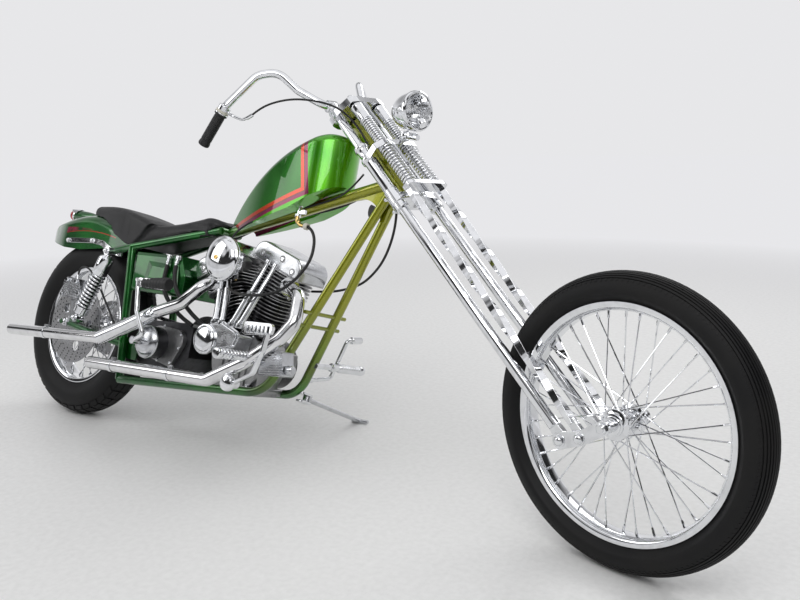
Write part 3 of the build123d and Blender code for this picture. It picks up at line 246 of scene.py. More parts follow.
class Draft:
    """Faces of one piece, drawn in a stance's millimetres.

    Attributes:
        stance: The frame that the piece is drawn in.
    """

    def __init__(self, stance: Stance) -> None:
        """Starts an empty piece in a stance."""
        self.stance = stance
        self.bm = bmesh.new()

    def _bridge(self, first: list, second: list, closed: bool = True) -> None:
        """Joins two rings of vertices by faces; a ring of one vertex is a tip.

        Args:
            first: One ring.
            second: The other ring.
            closed: Joins the rings' ends to their starts too.
        """
        count = max(len(first), len(second))
        for index in range(count if closed else count - 1):
            after = (index + 1) % count
            corners = [
                first[index % len(first)], first[after % len(first)],
                second[after % len(second)], second[index % len(second)],
            ]
            unique = list(dict.fromkeys(corners))
            if len(unique) > 2:
                self.bm.faces.new(unique)

    def rings(
        self, rings: Sequence[Sequence[Vector]], caps: bool = True, closed: bool = True, loop: bool = False,
    ) -> None:
        """Skins a row of rings.

        Args:
            rings: Rings of as many points each; a ring of one point is a tip.
            caps: Closes the first and last ring with a face.
            closed: Joins the end of each ring to its start.
            loop: Joins the last ring to the first.
        """
        made = [[self.bm.verts.new(spot) for spot in ring] for ring in rings]
        for first, second in zip(made, made[1:]):
            self._bridge(first, second, closed)
        if loop:
            self._bridge(made[-1], made[0], closed)
        elif caps:
            for ring in (made[0], made[-1]):
                if len(ring) > 2:
                    self.bm.faces.new(ring)

    def lathe(self, profile: Profile, origin: Point, axis: Point, segments: int = 40, loop: bool = False) -> None:
        """Turns a profile about an axis.

        Args:
            profile: Pairs of radius and height along the axis.
            origin: Where height is zero.
            axis: Direction of the axis.
            segments: Faces round the axis.
            loop: Joins the profile's end to its start, as in a ring.
        """
        turn = Vector(axis).to_track_quat("Z", "Y").to_matrix()
        centre = Vector(origin)
        rings = []
        for radius, height in profile:
            spots = circle(radius, segments) if radius > 1e-6 else [(0.0, 0.0)]
            rings.append([centre + turn @ Vector((x, y, height)) for x, y in spots])
        self.rings(rings, caps=not loop, loop=loop)

    def sweep(self, path: Sequence[Point], section: Profile, up: Point | None = None, loop: bool = False,
              scale: Callable[[float], float] | None = None) -> None:
        """Carries a section along a path without twisting it.

        Args:
            path: Points of the path.
            section: Closed outline across the path.
            up: Direction that the section's second axis starts towards.
            loop: Joins the path's end to its start.
            scale: Size of the section at a share of the path.
        """
        spots = [Vector(spot) for spot in path]
        count = len(spots)
        ways = []
        for index in range(count):
            before = spots[index - 1] if loop or index else spots[0]
            after = spots[(index + 1) % count] if loop or index + 1 < count else spots[-1]
            ways.append((after - before).normalized())
        guide = Vector(up) if up else (Vector((0, 0, 1)) if abs(ways[0].z) < 0.9 else Vector((1, 0, 0)))
        rings = []
        for index, (spot, way) in enumerate(zip(spots, ways)):
            side = way.cross(guide).normalized()
            guide = side.cross(way).normalized()
            size = scale(index / max(count - 1, 1)) if scale else 1.0
            rings.append([spot + side * x * size + guide * y * size for x, y in section])
        self.rings(rings, loop=loop)

    def tube(self, path: Sequence[Point], radius: float, count: int = 20, loop: bool = False) -> None:
        """Carries a round section along a path."""
        self.sweep(path, circle(radius, count), loop=loop)

    def slab(self, outline: Profile, near: float, far: float) -> None:
        """Adds a flat piece with a side outline, between two distances to the left.

        Args:
            outline: Points in X and Z.
            near: One face's Y.
            far: The other face's Y.
        """
        self.rings([[Vector((x, y, z)) for x, z in outline] for y in (near, far)])

    def plinth(self, outline: Profile, bottom: float, top: float, place: Matrix | None = None) -> None:
        """Adds a flat piece with a plan outline, between two heights.

        Args:
            outline: Points in X and Y.
            bottom: Lower face's height.
            top: Upper face's height.
            place: Where the plan's own frame stands.
        """
        turn = place or Matrix.Identity(4)
        self.rings([[turn @ Vector((x, y, z)) for x, y in outline] for z in (bottom, top)])

    def block(self, centre: Point, size: Point, turn: Matrix | None = None) -> None:
        """Adds a box.

        Args:
            centre: Its middle.
            size: Its size along its own axes.
            turn: Rotation of its axes.
        """
        spin = (turn or Matrix.Identity(3)).to_4x4()
        place = Matrix.Translation(Vector(centre)) @ spin
        self.plinth(rectangle(size[0], size[1]), -size[2] / 2, size[2] / 2, place)

    def join(self, mesh: bpy.types.Mesh, place: Matrix | None = None) -> None:
        """Adds a finished mesh, which is then removed.

        Args:
            mesh: A mesh in this stance's millimetres.
            place: Where it stands.
        """
        if place:
            mesh.transform(place)
        self.bm.from_mesh(mesh)
        bpy.data.meshes.remove(mesh)

    def mesh(self, name: str, place: bool = False) -> bpy.types.Mesh:
        """Turns the draft into a mesh.

        Args:
            name: Name of the mesh.
            place: Puts it into the parked machine's metres.

        Returns:
            The mesh, with its faces outwards.
        """
        bmesh.ops.remove_doubles(self.bm, verts=self.bm.verts, dist=1e-4)
        bmesh.ops.dissolve_degenerate(self.bm, edges=self.bm.edges, dist=1e-4)
        if place:
            bmesh.ops.transform(self.bm, matrix=self.stance.matrix, verts=self.bm.verts)
        bmesh.ops.recalc_face_normals(self.bm, faces=self.bm.faces)
        result = bpy.data.meshes.new(name)
        self.bm.to_mesh(result)
        self.bm.free()
        return result

    def place(self, name: str, finish: "Finish", body: Body = Body.CHASSIS, replaces: Sequence[str] = (),
              edges: Edges = Edges()) -> bpy.types.Object:
        """Makes the draft a visible piece; the arguments are those of place_piece."""
        return place_piece(self.mesh(name, True), name, finish, body, replaces, edges)


@contextmanager
def edited(mesh: bpy.types.Mesh) -> Iterator[bmesh.types.BMesh]:
    """Opens a mesh for editing and writes it back at the end.

    Args:
        mesh: The mesh.

    Returns:
        Its editable form, for a with statement.
    """
    edit = bmesh.new()
    edit.from_mesh(mesh)
    yield edit
    edit.to_mesh(mesh)
    edit.free()


def soften(mesh: bpy.types.Mesh, crease: float) -> None:
    """Smooths a mesh's shading except across sharp edges.

    Args:
        mesh: The mesh.
        crease: Angle in degrees past which an edge stays sharp.
    """
    limit = math.radians(crease)
    with edited(mesh) as edit:
        for face in edit.faces:
            face.smooth = True
        for edge in edit.edges:
            edge.smooth = len(edge.link_faces) == 2 and edge.calc_face_angle(0.0) < limit


def place_piece(mesh: bpy.types.Mesh, name: str, finish: "Finish", body: Body, replaces: Sequence[str] = (),
                edges: Edges = Edges()) -> bpy.types.Object:
    """Makes a visible piece from a mesh in metres and lets it ride on its body.

    Args:
        mesh: The mesh, at its place.
        name: Name of the piece.
        finish: What it is finished in.
        body: The body that carries it.
        replaces: Solids of the frame that it stands for.
        edges: How its edges are finished.

    Returns:
        The piece.
    """
    soften(mesh, edges.crease)
    mesh.materials.clear()
    mesh.materials.append(finish.material())
    piece = bpy.data.objects.new(name, mesh)
    bpy.context.scene.collection.objects.link(piece)
    if edges.wall:
        shell = piece.modifiers.new("wall", "SOLIDIFY")
        shell.thickness = edges.wall * MM
        shell.offset = -1
    if edges.bevel:
        bevel = piece.modifiers.new("bevel", "BEVEL")
        bevel.width = edges.bevel * MM
        bevel.segments = 2
        bevel.limit_method = "ANGLE"
        bevel.angle_limit = math.radians(edges.crease)
        bevel.harden_normals = True
    if edges.subdivide:
        smooth = piece.modifiers.new("smooth", "SUBSURF")
        smooth.levels = smooth.render_levels = edges.subdivide
    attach(piece, body.value)
    if replaces:
        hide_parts(*replaces)
    LOG.info("%s: %d faces", name, len(mesh.polygons))
    return piece


class NodeTree:
    """A Geometry Nodes tree with named inputs that turns a mesh into its repeats."""

    def __init__(self, name: str) -> None:
        """Starts a tree whose first input and only output is geometry.

        Args:
            name: Name of the tree.
        """
        self.group = bpy.data.node_groups.new(name, "GeometryNodeTree")
        self.group.interface.new_socket("Geometry", in_out="INPUT", socket_type="NodeSocketGeometry")
        self.group.interface.new_socket("Geometry", in_out="OUTPUT", socket_type="NodeSocketGeometry")
        self.source = self.group.nodes.new("NodeGroupInput")
        self.sink = self.group.nodes.new("NodeGroupOutput")
        self.values: dict[str, object] = {}

    def value(self, name: str, kind: str, setting: object) -> bpy.types.NodeSocket:
        """Adds a named input and gives it a value.

        Args:
            name: Name of the input.
            kind: Socket type after "NodeSocket".
            setting: Its value.

        Returns:
            The socket that carries it inside the tree.
        """
        entry = self.group.interface.new_socket(name, in_out="INPUT", socket_type="NodeSocket" + kind)
        self.values[entry.identifier] = setting
        return self.source.outputs[name]

    def node(self, kind: str, settings: dict[str, object] | None = None, **links: object) -> bpy.types.Node:
        """Adds a node, its settings first and then its sockets.

        Args:
            kind: Node type after "GeometryNode", or a full type name.
            settings: Properties of the node.
            links: Values or sockets by input name, with _ for a space.

        Returns:
            The node.
        """
        full = kind if kind.startswith(("Shader", "Function")) else "GeometryNode" + kind
        made = self.group.nodes.new(full)
        for key, setting in (settings or {}).items():
            setattr(made, key, setting)
        for key, setting in links.items():
            socket = made.inputs[int(key[1:])] if key[0] == "n" and key[1:].isdigit() else made.inputs[
                key.replace("_", " ")
            ]
            if isinstance(setting, bpy.types.NodeSocket):
                self.group.links.new(setting, socket)
            else:
                socket.default_value = setting
        return made

    def run(self, result: bpy.types.NodeSocket, source: bpy.types.Mesh | None = None) -> bpy.types.Mesh:
        """Realizes the tree's result as a plain mesh and removes the tree.

        Args:
            result: Geometry to output.
            source: Mesh that enters the tree.

        Returns:
            The mesh, in the tree's own millimetres.
        """
        coat = bpy.data.materials.get("plain") or bpy.data.materials.new("plain")
        real = self.node("RealizeInstances", Geometry=result)
        dressed = self.node(
            "SetMaterial", Geometry=real.outputs[0], Material=self.value("Material", "Material", coat),
        )
        self.group.links.new(dressed.outputs[0], self.sink.inputs[0])
        carrier = bpy.data.objects.new("carrier", source or bpy.data.meshes.new("carrier"))
        bpy.context.scene.collection.objects.link(carrier)
        modifier = carrier.modifiers.new("nodes", "NODES")
        modifier.node_group = self.group
        for identifier, setting in self.values.items():
            modifier[identifier] = setting
        bpy.context.view_layer.update()
        evaluated = carrier.evaluated_get(bpy.context.evaluated_depsgraph_get())
        made = bpy.data.meshes.new_from_object(evaluated)
        carrier.modifiers.remove(modifier)
        base = carrier.data
        bpy.data.objects.remove(carrier)
        bpy.data.meshes.remove(base)
        bpy.data.node_groups.remove(self.group)
        return made


def ring_of(source: bpy.types.Mesh, count: int, first: float = 0.0) -> bpy.types.Mesh:
    """Repeats a mesh round the Z axis.

    Args:
        source: The mesh, in millimetres.
        count: How many copies.
        first: Angle of the first, in degrees.

    Returns:
        All copies as one mesh.
    """
    tree = NodeTree("ring")
    number = tree.value("Count", "Int", count)
    start = tree.value("First angle", "Float", math.radians(first))
    row = tree.node("MeshLine", Count=number, Offset=(0.0, 0.0, 0.0))
    index = tree.node("InputIndex")
    share = tree.node("ShaderNodeMath", {"operation": "DIVIDE"}, n0=index.outputs[0], n1=number)
    turn = tree.node("ShaderNodeMath", {"operation": "MULTIPLY_ADD"}, n0=share.outputs[0], n1=math.tau, n2=start)
    angles = tree.node("ShaderNodeCombineXYZ", Z=turn.outputs[0])
    copies = tree.node(
        "InstanceOnPoints", Points=row.outputs[0], Instance=tree.source.outputs["Geometry"],
        Rotation=angles.outputs[0],
    )
    return tree.run(copies.outputs[0], source)


def row_of(source: bpy.types.Mesh, count: int, step: Point) -> bpy.types.Mesh:
    """Repeats a mesh along a straight line.

    Args:
        source: The mesh, in millimetres.
        count: How many copies.
        step: From one copy to the next.

    Returns:
        All copies as one mesh.
    """
    tree = NodeTree("row")
    line = tree.node(
        "MeshLine", Count=tree.value("Count", "Int", count), Offset=tree.value("Step", "Vector", tuple(step)),
    )
    copies = tree.node("InstanceOnPoints", Points=line.outputs[0], Instance=tree.source.outputs["Geometry"])
    return tree.run(copies.outputs[0], source)


def coil(radius: float, wire: float, turns: float, height: float, sides: int = 10) -> bpy.types.Mesh:
    """Winds a round wire up the Z axis.

    Args:
        radius: From the axis to the wire's middle.
        wire: The wire's radius.
        turns: How many turns.
        height: From the first turn to the last.
        sides: Faces round the wire.

    Returns:
        The coil as a mesh, standing on the origin.
    """
    tree = NodeTree("coil")
    size = tree.value("Radius", "Float", radius)
    spiral = tree.node(
        "CurveSpiral", Resolution=20, Rotations=tree.value("Turns", "Float", turns), Start_Radius=size,
        End_Radius=size, Height=tree.value("Height", "Float", height),
    )
    section = tree.node(
        "CurvePrimitiveCircle", Resolution=tree.value("Sides", "Int", sides), Radius=tree.value("Wire", "Float", wire)
    )
    wound = tree.node("CurveToMesh", Curve=spiral.outputs[0], Profile_Curve=section.outputs[0], Fill_Caps=True)
    return tree.run(wound.outputs[0])


def twisted_bar(length: float, width: float, turns: float) -> bpy.types.Mesh:
    """Twists a square bar that stands on the origin.

    Args:
        length: Its length up the Z axis.
        width: Side of its square section.
        turns: Full turns from its foot to its head.

    Returns:
        The bar as a mesh.
    """
    tree = NodeTree("twisted bar")
    reach = tree.value("Length", "Float", length)
    end = tree.node("ShaderNodeCombineXYZ", Z=reach)
    line = tree.node("CurvePrimitiveLine", Start=(0.0, 0.0, 0.0), End=end.outputs[0])
    points = tree.node("ResampleCurve", Curve=line.outputs[0], Count=tree.value("Points", "Int", int(turns * 36)))
    share = tree.node("SplineParameter")
    angle = tree.node(
        "ShaderNodeMath", {"operation": "MULTIPLY"}, n0=share.outputs[0],
        n1=tree.value("Twist", "Float", math.tau * turns),
    )
    turned = tree.node("SetCurveTilt", Curve=points.outputs[0], Tilt=angle.outputs[0])
    square = tree.node(
        "CurvePrimitiveQuadrilateral", Width=tree.value("Width", "Float", width),
        Height=tree.value("Depth", "Float", width),
    )
    bar = tree.node("CurveToMesh", Curve=turned.outputs[0], Profile_Curve=square.outputs[0], Fill_Caps=True)
    return tree.run(bar.outputs[0])


def along_path(source: bpy.types.Mesh, path: Sequence[Point], count: int) -> bpy.types.Mesh:
    """Repeats a mesh along a closed path, its X axis along it and its Y axis to the left.

    Args:
        source: The mesh, in millimetres.
        path: Points of the path, in the XZ plane.
        count: How many copies, evenly spaced.

    Returns:
        All copies as one mesh.
    """
    trail = bpy.data.meshes.new("trail")
    links = [(index, (index + 1) % len(path)) for index in range(len(path))]
    trail.from_pydata([tuple(spot) for spot in path], links, [])
    holder = bpy.data.objects.new("link", source)
    bpy.context.scene.collection.objects.link(holder)
    tree = NodeTree("along path")
    curve = tree.node("MeshToCurve", Mesh=tree.source.outputs["Geometry"])
    spots = tree.node(
        "CurveToPoints", {"mode": "COUNT"}, Curve=curve.outputs[0], Count=tree.value("Count", "Int", count),
    )
    part = tree.node("ObjectInfo", Object=tree.value("Link", "Object", holder))
    along = tree.node("FunctionNodeAlignRotationToVector", {"axis": "X"}, Vector=spots.outputs["Tangent"])
    upright = tree.node(
        "FunctionNodeAlignRotationToVector", {"axis": "Y", "pivot_axis": "X"}, Rotation=along.outputs[0],
        Vector=(0.0, 1.0, 0.0),
    )
    copies = tree.node(
        "InstanceOnPoints", Points=spots.outputs[0], Instance=part.outputs["Geometry"], Rotation=upright.outputs[0],
    )
    made = tree.run(copies.outputs[0], trail)
    bpy.data.objects.remove(holder)
    bpy.data.meshes.remove(source)
    return made


class Value:
    """A shader socket that can be used in Python expressions.

    Attributes:
        socket: The output socket, or a plain number.
        shader: The tree that new nodes go to.
    """

    def __init__(self, shader: "Nodes", socket: object) -> None:
        """Wraps a socket of a tree."""
        self.shader = shader
        self.socket = socket

    def _maths(self, operation: str, *others: object) -> "Value":
        """Adds a Math node for this value and others."""
        links = {f"n{index}": entry for index, entry in enumerate((self, *others))}
        return self.shader.node("Math", {"operation": operation}, **links)

    def __add__(self, other: object) -> "Value":
        """Sum."""
        return self._maths("ADD", other)

    def __radd__(self, other: object) -> "Value":
        """Sum, with the value on the right."""
        return self._maths("ADD", other)

    def __sub__(self, other: object) -> "Value":
        """Difference."""
        return self._maths("SUBTRACT", other)

    def __rsub__(self, other: object) -> "Value":
        """Difference, with the value on the right."""
        return (self * -1.0) + other

    def __mul__(self, other: object) -> "Value":
        """Product."""
        return self._maths("MULTIPLY", other)

    def __rmul__(self, other: object) -> "Value":
        """Product, with the value on the right."""
        return self._maths("MULTIPLY", other)

    def __truediv__(self, other: object) -> "Value":
        """Quotient."""
        return self._maths("DIVIDE", other)

    def __gt__(self, other: object) -> "Value":
        """One where this value is greater."""
        return self._maths("GREATER_THAN", other)

    def __lt__(self, other: object) -> "Value":
        """One where this value is less."""
        return self._maths("LESS_THAN", other)

    def absolute(self) -> "Value":
        """Its size without its sign."""
        return self._maths("ABSOLUTE")

    def maximum(self, other: object) -> "Value":
        """The greater of two values."""
        return self._maths("MAXIMUM", other)

    def root(self) -> "Value":
        """Its square root."""
        return self._maths("SQRT")

    def ramp(self, low: float, high: float, start: float = 0.0, end: float = 1.0) -> "Value":
        """This value from one range to another, held at the ends.

        Args:
            low: Where the result is start.
            high: Where the result is end.
            start: Result at and below low.
            end: Result at and above high.

        Returns:
            The mapped value.
        """
        return self.shader.node(
            "MapRange", {"clamp": True}, Value=self, From_Min=low, From_Max=high, To_Min=start, To_Max=end,
        )


Colour = tuple[float, float, float]


class Nodes:
    """A shader node tree that is wired by Python expressions."""

    def __init__(self, tree: bpy.types.NodeTree) -> None:
        """Takes over a tree and adds its coordinates."""
        self.tree = tree
        self.coordinates = tree.nodes.new("ShaderNodeTexCoord")

    def node(
        self, kind: str, settings: dict[str, object] | None = None, output: str | int = 0, **links: object,
    ) -> Value:
        """Adds a node, its settings first and then its sockets.

        Args:
            kind: Node type after "ShaderNode".
            settings: Properties of the node, or a ramp's stops.
            output: Name or number of the output that is wanted.
            links: Values, colours or wrapped sockets by input name or n and its number.

        Returns:
            The wrapped output.
        """
        made = self.tree.nodes.new("ShaderNode" + kind)
        for key, setting in (settings or {}).items():
            if key == "stops":
                while len(made.color_ramp.elements) < len(setting):
                    made.color_ramp.elements.new(1.0)
                for element, (position, colour) in zip(made.color_ramp.elements, setting):
                    element.position = position
                    element.color = (*colour, 1.0)
            else:
                setattr(made, key, setting)
        for key, setting in links.items():
            number = key[0] == "n" and key[1:].isdigit()
            self.feed(made.inputs[int(key[1:])] if number else made.inputs[key.replace("_", " ")], setting)
        return Value(self, made.outputs[output])

    def feed(self, socket: bpy.types.NodeSocket, setting: object) -> None:
        """Links a wrapped socket to an input, or sets a plain value on it.

        Args:
            socket: The input.
            setting: A wrapped socket, or a plain value.
        """
        if isinstance(setting, Value):
            self.tree.links.new(setting.socket, socket)
        elif isinstance(setting, tuple) and len(setting) == 3 and len(socket.default_value) == 4:
            socket.default_value = (*setting, 1.0)
        else:
            socket.default_value = setting

    def place(self, stance: Stance | None = None) -> Value:
        """Object coordinates, or a stance's own millimetres.

        Args:
            stance: The frame whose millimetres are wanted.

        Returns:
            The vector.
        """
        spot = Value(self, self.coordinates.outputs["Object"])
        if stance is None:
            return spot
        back = stance.matrix.inverted()
        return self.node(
            "Mapping", Vector=spot, Location=tuple(back.to_translation()), Rotation=tuple(back.to_euler()),
            Scale=tuple(back.to_scale()),
        )

    def parts(self, vector: Value) -> tuple[Value, Value, Value]:
        """The three coordinates of a vector.

        Args:
            vector: The vector.

        Returns:
            X, Y and Z.
        """
        split = self.tree.nodes.new("ShaderNodeSeparateXYZ")
        self.feed(split.inputs[0], vector)
        return tuple(Value(self, output) for output in split.outputs)

    def grain(self, scale: float, detail: float = 2.0, vector: Value | None = None, rough: float = 0.5) -> Value:
        """A noise value from 0 to 1.

        Args:
            scale: How fine it is, in cells per unit of the vector.
            detail: Levels of finer noise.
            vector: Where it is read, or nothing for the surface's own place.
            rough: Strength of the finer levels.

        Returns:
            The noise.
        """
        return self.node(
            "TexNoise", Vector=vector or self.place(), Scale=scale, Detail=detail, Roughness=rough,
        )

    def blend(self, share: Value, first: object, second: object) -> Value:
        """Mixes two plain values by a share."""
        return self.node("Mix", {"data_type": "FLOAT"}, n0=share, n2=first, n3=second)

    def mix(self, share: object, first: object, second: object) -> Value:
        """Mixes two colours by a share.

        Args:
            share: Share of the second colour.
            first: First colour.
            second: Second colour.

        Returns:
            The blend.
        """
        blended = self.tree.nodes.new("ShaderNodeMix")
        blended.data_type = "RGBA"
        self.feed(blended.inputs["Factor"], share)
        self.feed(blended.inputs[6], first)
        self.feed(blended.inputs[7], second)
        return Value(self, blended.outputs[2])


class Shader(Nodes):
    """A node material for one finish, with its Principled node at hand."""

    def __init__(self, name: str) -> None:
        """Starts a material with a Principled node.

        Args:
            name: Name of the material.
        """
        self.material = bpy.data.materials.new(name)
        self.material.use_nodes = True
        super().__init__(self.material.node_tree)
        self.surface = self.tree.nodes["Principled BSDF"]

    def set(self, **settings: object) -> None:
        """Sets or links inputs of the Principled node by name."""
        for key, setting in settings.items():
            self.feed(self.surface.inputs[key.replace("_", " ")], setting)

    def bump(self, height: Value, strength: float, distance: float) -> None:
        """Raises the surface by a height in millimetres."""
        made = self.node("Bump", Height=height, Strength=strength, Distance=distance * MM)
        self.feed(self.surface.inputs["Normal"], made)


@dataclass(frozen=True)
class Finish:
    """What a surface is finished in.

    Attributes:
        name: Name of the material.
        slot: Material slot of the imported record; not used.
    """

    name: str
    slot: str

    def material(self) -> bpy.types.Material:
        """The finish's material, made the first time that it is needed.

        Returns:
            The material.
        """
        existing = bpy.data.materials.get(self.name)
        if existing:
            return existing
        shader = Shader(self.name)
        self.paint(shader)
        return shader.material

    def paint(self, shader: Shader) -> None:
        """Wires the finish's nodes."""
        raise NotImplementedError


@dataclass(frozen=True)
class Metal(Finish):
    """Bare or plated metal.

    Attributes:
        colour: Its reflection's colour.
        roughness: Roughness where it is clean.
        haze: How much rougher the worn patches are.
        grain_scale: Size of the patches, per metre.
        relief: Depth of the surface's waviness in millimetres.
    """

    colour: Colour = (0.83, 0.84, 0.86)
    roughness: float = 0.05
    haze: float = 0.08
    grain_scale: float = 40.0
    relief: float = 0.0

    def paint(self, shader: Shader) -> None:
        """Wires metal whose polish varies in soft patches.

        Args:
            shader: The material's nodes.
        """
        patches = shader.grain(self.grain_scale, 4.0)
        specks = shader.grain(self.grain_scale * 14, 2.0)
        dull = tuple(part * 0.86 for part in self.colour)
        shader.set(
            Base_Color=shader.mix(patches.ramp(0.45, 0.7), self.colour, dull),
            Metallic=1.0,
            Roughness=patches.ramp(
                0.4, 0.75, self.roughness, self.roughness + self.haze,
            ) + specks.ramp(0.6, 0.8) * 0.03,
        )
        if self.relief:
            shader.bump(specks, 0.6, self.relief)


@dataclass(frozen=True)
class Lacquer(Finish):
    """Candy paint: a deep colour over bright metal flake under clear coat.

    Attributes:
        deep: Colour where the coat is thick.
        bright: Colour where the metal shows through.
    """

    deep: Colour = (0.0, 0.055, 0.008)
    bright: Colour = (0.008, 0.16, 0.016)

    def tint(self, shader: Shader) -> Value:
        """Colour of the candy coat over the surface."""
        return shader.mix(shader.grain(9.0, 3.0).ramp(0.35, 0.7), self.deep, self.bright)

    def paint(self, shader: Shader) -> None:
        """Wires candy paint with a fine flake.

        Args:
            shader: The material's nodes.
        """
        flake = shader.grain(2600.0, 1.0)
        colour = shader.mix(flake.ramp(0.55, 0.75, 0.0, 0.25), self.tint(shader), self.bright)
        shader.set(
            Base_Color=colour, Metallic=0.72, Roughness=flake.ramp(0.3, 0.7, 0.22, 0.34), Coat_Weight=1.0,
            Coat_Roughness=0.03,
        )
        shader.bump(flake, 0.08, 0.02)


@dataclass(frozen=True)
class FrameLacquer(Lacquer):
    """Frame paint that fades from green at the rear to yellow olive at the neck.

    Attributes:
        olive: Colour at the neck.
        fade: Where the fade starts and ends, ahead of the rear axle.
        rise: Where it starts and ends above the rear axle.
    """

    olive: Colour = (0.3, 0.31, 0.008)
    fade: tuple[float, float] = (660.0, 1000.0)
    rise: tuple[float, float] = (-90.0, 260.0)

    def tint(self, shader: Shader) -> Value:
        """Green at the rear, olive at the front.

        Args:
            shader: The material's nodes.

        Returns:
            The colour.
        """
        ahead, _, height = shader.parts(shader.place(BIKE))
        waver = shader.grain(6.0) * 80.0
        share = (ahead + waver).ramp(self.fade[0], self.fade[1]) * (height + waver).ramp(self.rise[0], self.rise[1])
        return shader.mix(share, shader.mix(shader.grain(9.0).ramp(0.35, 0.7), self.deep, self.bright), self.olive)


@dataclass(frozen=True)
class Rubber(Finish):
    """Black rubber, leather or moulded plastic.

    Attributes:
        colour: Its colour.
        roughness: Roughness of the clean surface.
        relief: Depth of its grain in millimetres.
        grain_scale: Size of its grain, per metre.
        wear: Colour of the dusty or worn patches.
        shine: Strength of its plain reflection.
    """

    colour: Colour = (0.012, 0.012, 0.013)
    roughness: float = 0.55
    relief: float = 0.15
    grain_scale: float = 260.0
    wear: Colour = (0.03, 0.029, 0.027)
    shine: float = 0.4

    def paint(self, shader: Shader) -> None:
        """Wires a dark surface with a fine grain and soft wear.

        Args:
            shader: The material's nodes.
        """
        grain = shader.grain(self.grain_scale, 4.0)
        patches = shader.grain(7.0, 4.0)
        shader.set(
            Base_Color=shader.mix(patches.ramp(0.45, 0.75), self.colour, self.wear),
            Roughness=(grain * 0.12) + patches.ramp(0.4, 0.7, self.roughness - 0.06, self.roughness + 0.08),
            Specular_IOR_Level=self.shine,
        )
        shader.bump(grain, 0.5, self.relief)


@dataclass(frozen=True)
class Leather(Rubber):
    """Soft black leather with pores and fine creases."""

    def paint(self, shader: Shader) -> None:
        """Wires leather with cell-shaped pores over slow creases.

        Args:
            shader: The material's nodes.
        """
        cells = shader.node("TexVoronoi", {"feature": "DISTANCE_TO_EDGE"}, Vector=shader.place(), Scale=520.0)
        creases = shader.grain(38.0, 5.0)
        patches = shader.grain(11.0, 3.0)
        shader.set(
            Base_Color=shader.mix(patches.ramp(0.4, 0.75), self.colour, self.wear),
            Roughness=cells.ramp(0.0, 0.12, self.roughness + 0.12, self.roughness) + creases * 0.08,
            Specular_IOR_Level=self.shine,
        )
        shader.bump(cells.ramp(0.0, 0.2) * 0.5 + creases, 0.5, self.relief)


@dataclass(frozen=True)
class Glass(Finish):
    """Clear or coloured glass.

    Attributes:
        colour: Its tint.
        roughness: How much it scatters.
    """

    colour: Colour = (1.0, 1.0, 1.0)
    roughness: float = 0.02

    def paint(self, shader: Shader) -> None:
        """Wires glass whose polish varies a little.

        Args:
            shader: The material's nodes.
        """
        smears = shader.grain(30.0, 3.0)
        shader.set(
            Base_Color=self.colour, Roughness=smears.ramp(0.4, 0.8, self.roughness, self.roughness + 0.06),
            Transmission_Weight=1.0, IOR=1.48,
        )
        shader.material.use_backface_culling = False


@dataclass(frozen=True)
class TankLacquer(Lacquer):
    """Tank paint: a dark side panel outlined by an orange and a purple stripe on lime.

    Attributes:
        lime: Colour in front of the stripes and below them.
        panel: Colour inside the stripes.
        orange: Inner stripe.
        purple: Outer stripe.
        front_edge: Foot and head of the panel's front edge, ahead of the rear axle and above it.
        lower_edge: Tail and foot of the panel's lower edge.
        band: Width of both stripes together in millimetres.
    """

    lime: Colour = (0.13, 0.5, 0.002)
    panel: Colour = (0.006, 0.1, 0.004)
    orange: Colour = (0.56, 0.04, 0.008)
    purple: Colour = (0.2, 0.004, 0.06)
    front_edge: tuple[tuple[float, float], tuple[float, float]] = ((1013.0, 530.0), (980.0, 671.0))
    lower_edge: tuple[tuple[float, float], tuple[float, float]] = ((725.0, 419.0), (1013.0, 530.0))
    band: float = 28.0

    def _beyond(self, ahead: Value, height: Value, edge: tuple[tuple[float, float], tuple[float, float]]) -> Value:
        """Distance in millimetres to the outside of an edge line.

        Args:
            ahead: Place ahead of the rear axle.
            height: Place above it.
            edge: Both ends of the line.

        Returns:
            The distance, less than zero inside.
        """
        (x0, z0), (x1, z1) = edge
        length = math.hypot(x1 - x0, z1 - z0)
        return (ahead - x0) * ((z1 - z0) / length) - (height - z0) * ((x1 - x0) / length)

    def tint(self, shader: Shader) -> Value:
        """Panel, stripes and lime by the distance outside the panel's edges.

        Args:
            shader: The material's nodes.

        Returns:
            The colour.
        """
        ahead, _, height = shader.parts(shader.place(BIKE))
        outside = self._beyond(ahead, height, self.front_edge).maximum(self._beyond(ahead, height, self.lower_edge))
        waver = shader.grain(5.0, 2.0)
        green = shader.mix(waver.ramp(0.35, 0.7), self.panel, (0.014, 0.17, 0.005))
        lime = shader.mix(waver.ramp(0.3, 0.65), self.lime, (0.04, 0.3, 0.002))
        striped = shader.mix(outside > 0.0, green, self.orange)
        striped = shader.mix(outside > self.band * 0.46, striped, (0.01, 0.05, 0.01))
        striped = shader.mix(outside > self.band * 0.54, striped, self.purple)
        return shader.mix(outside > self.band, striped, lime)


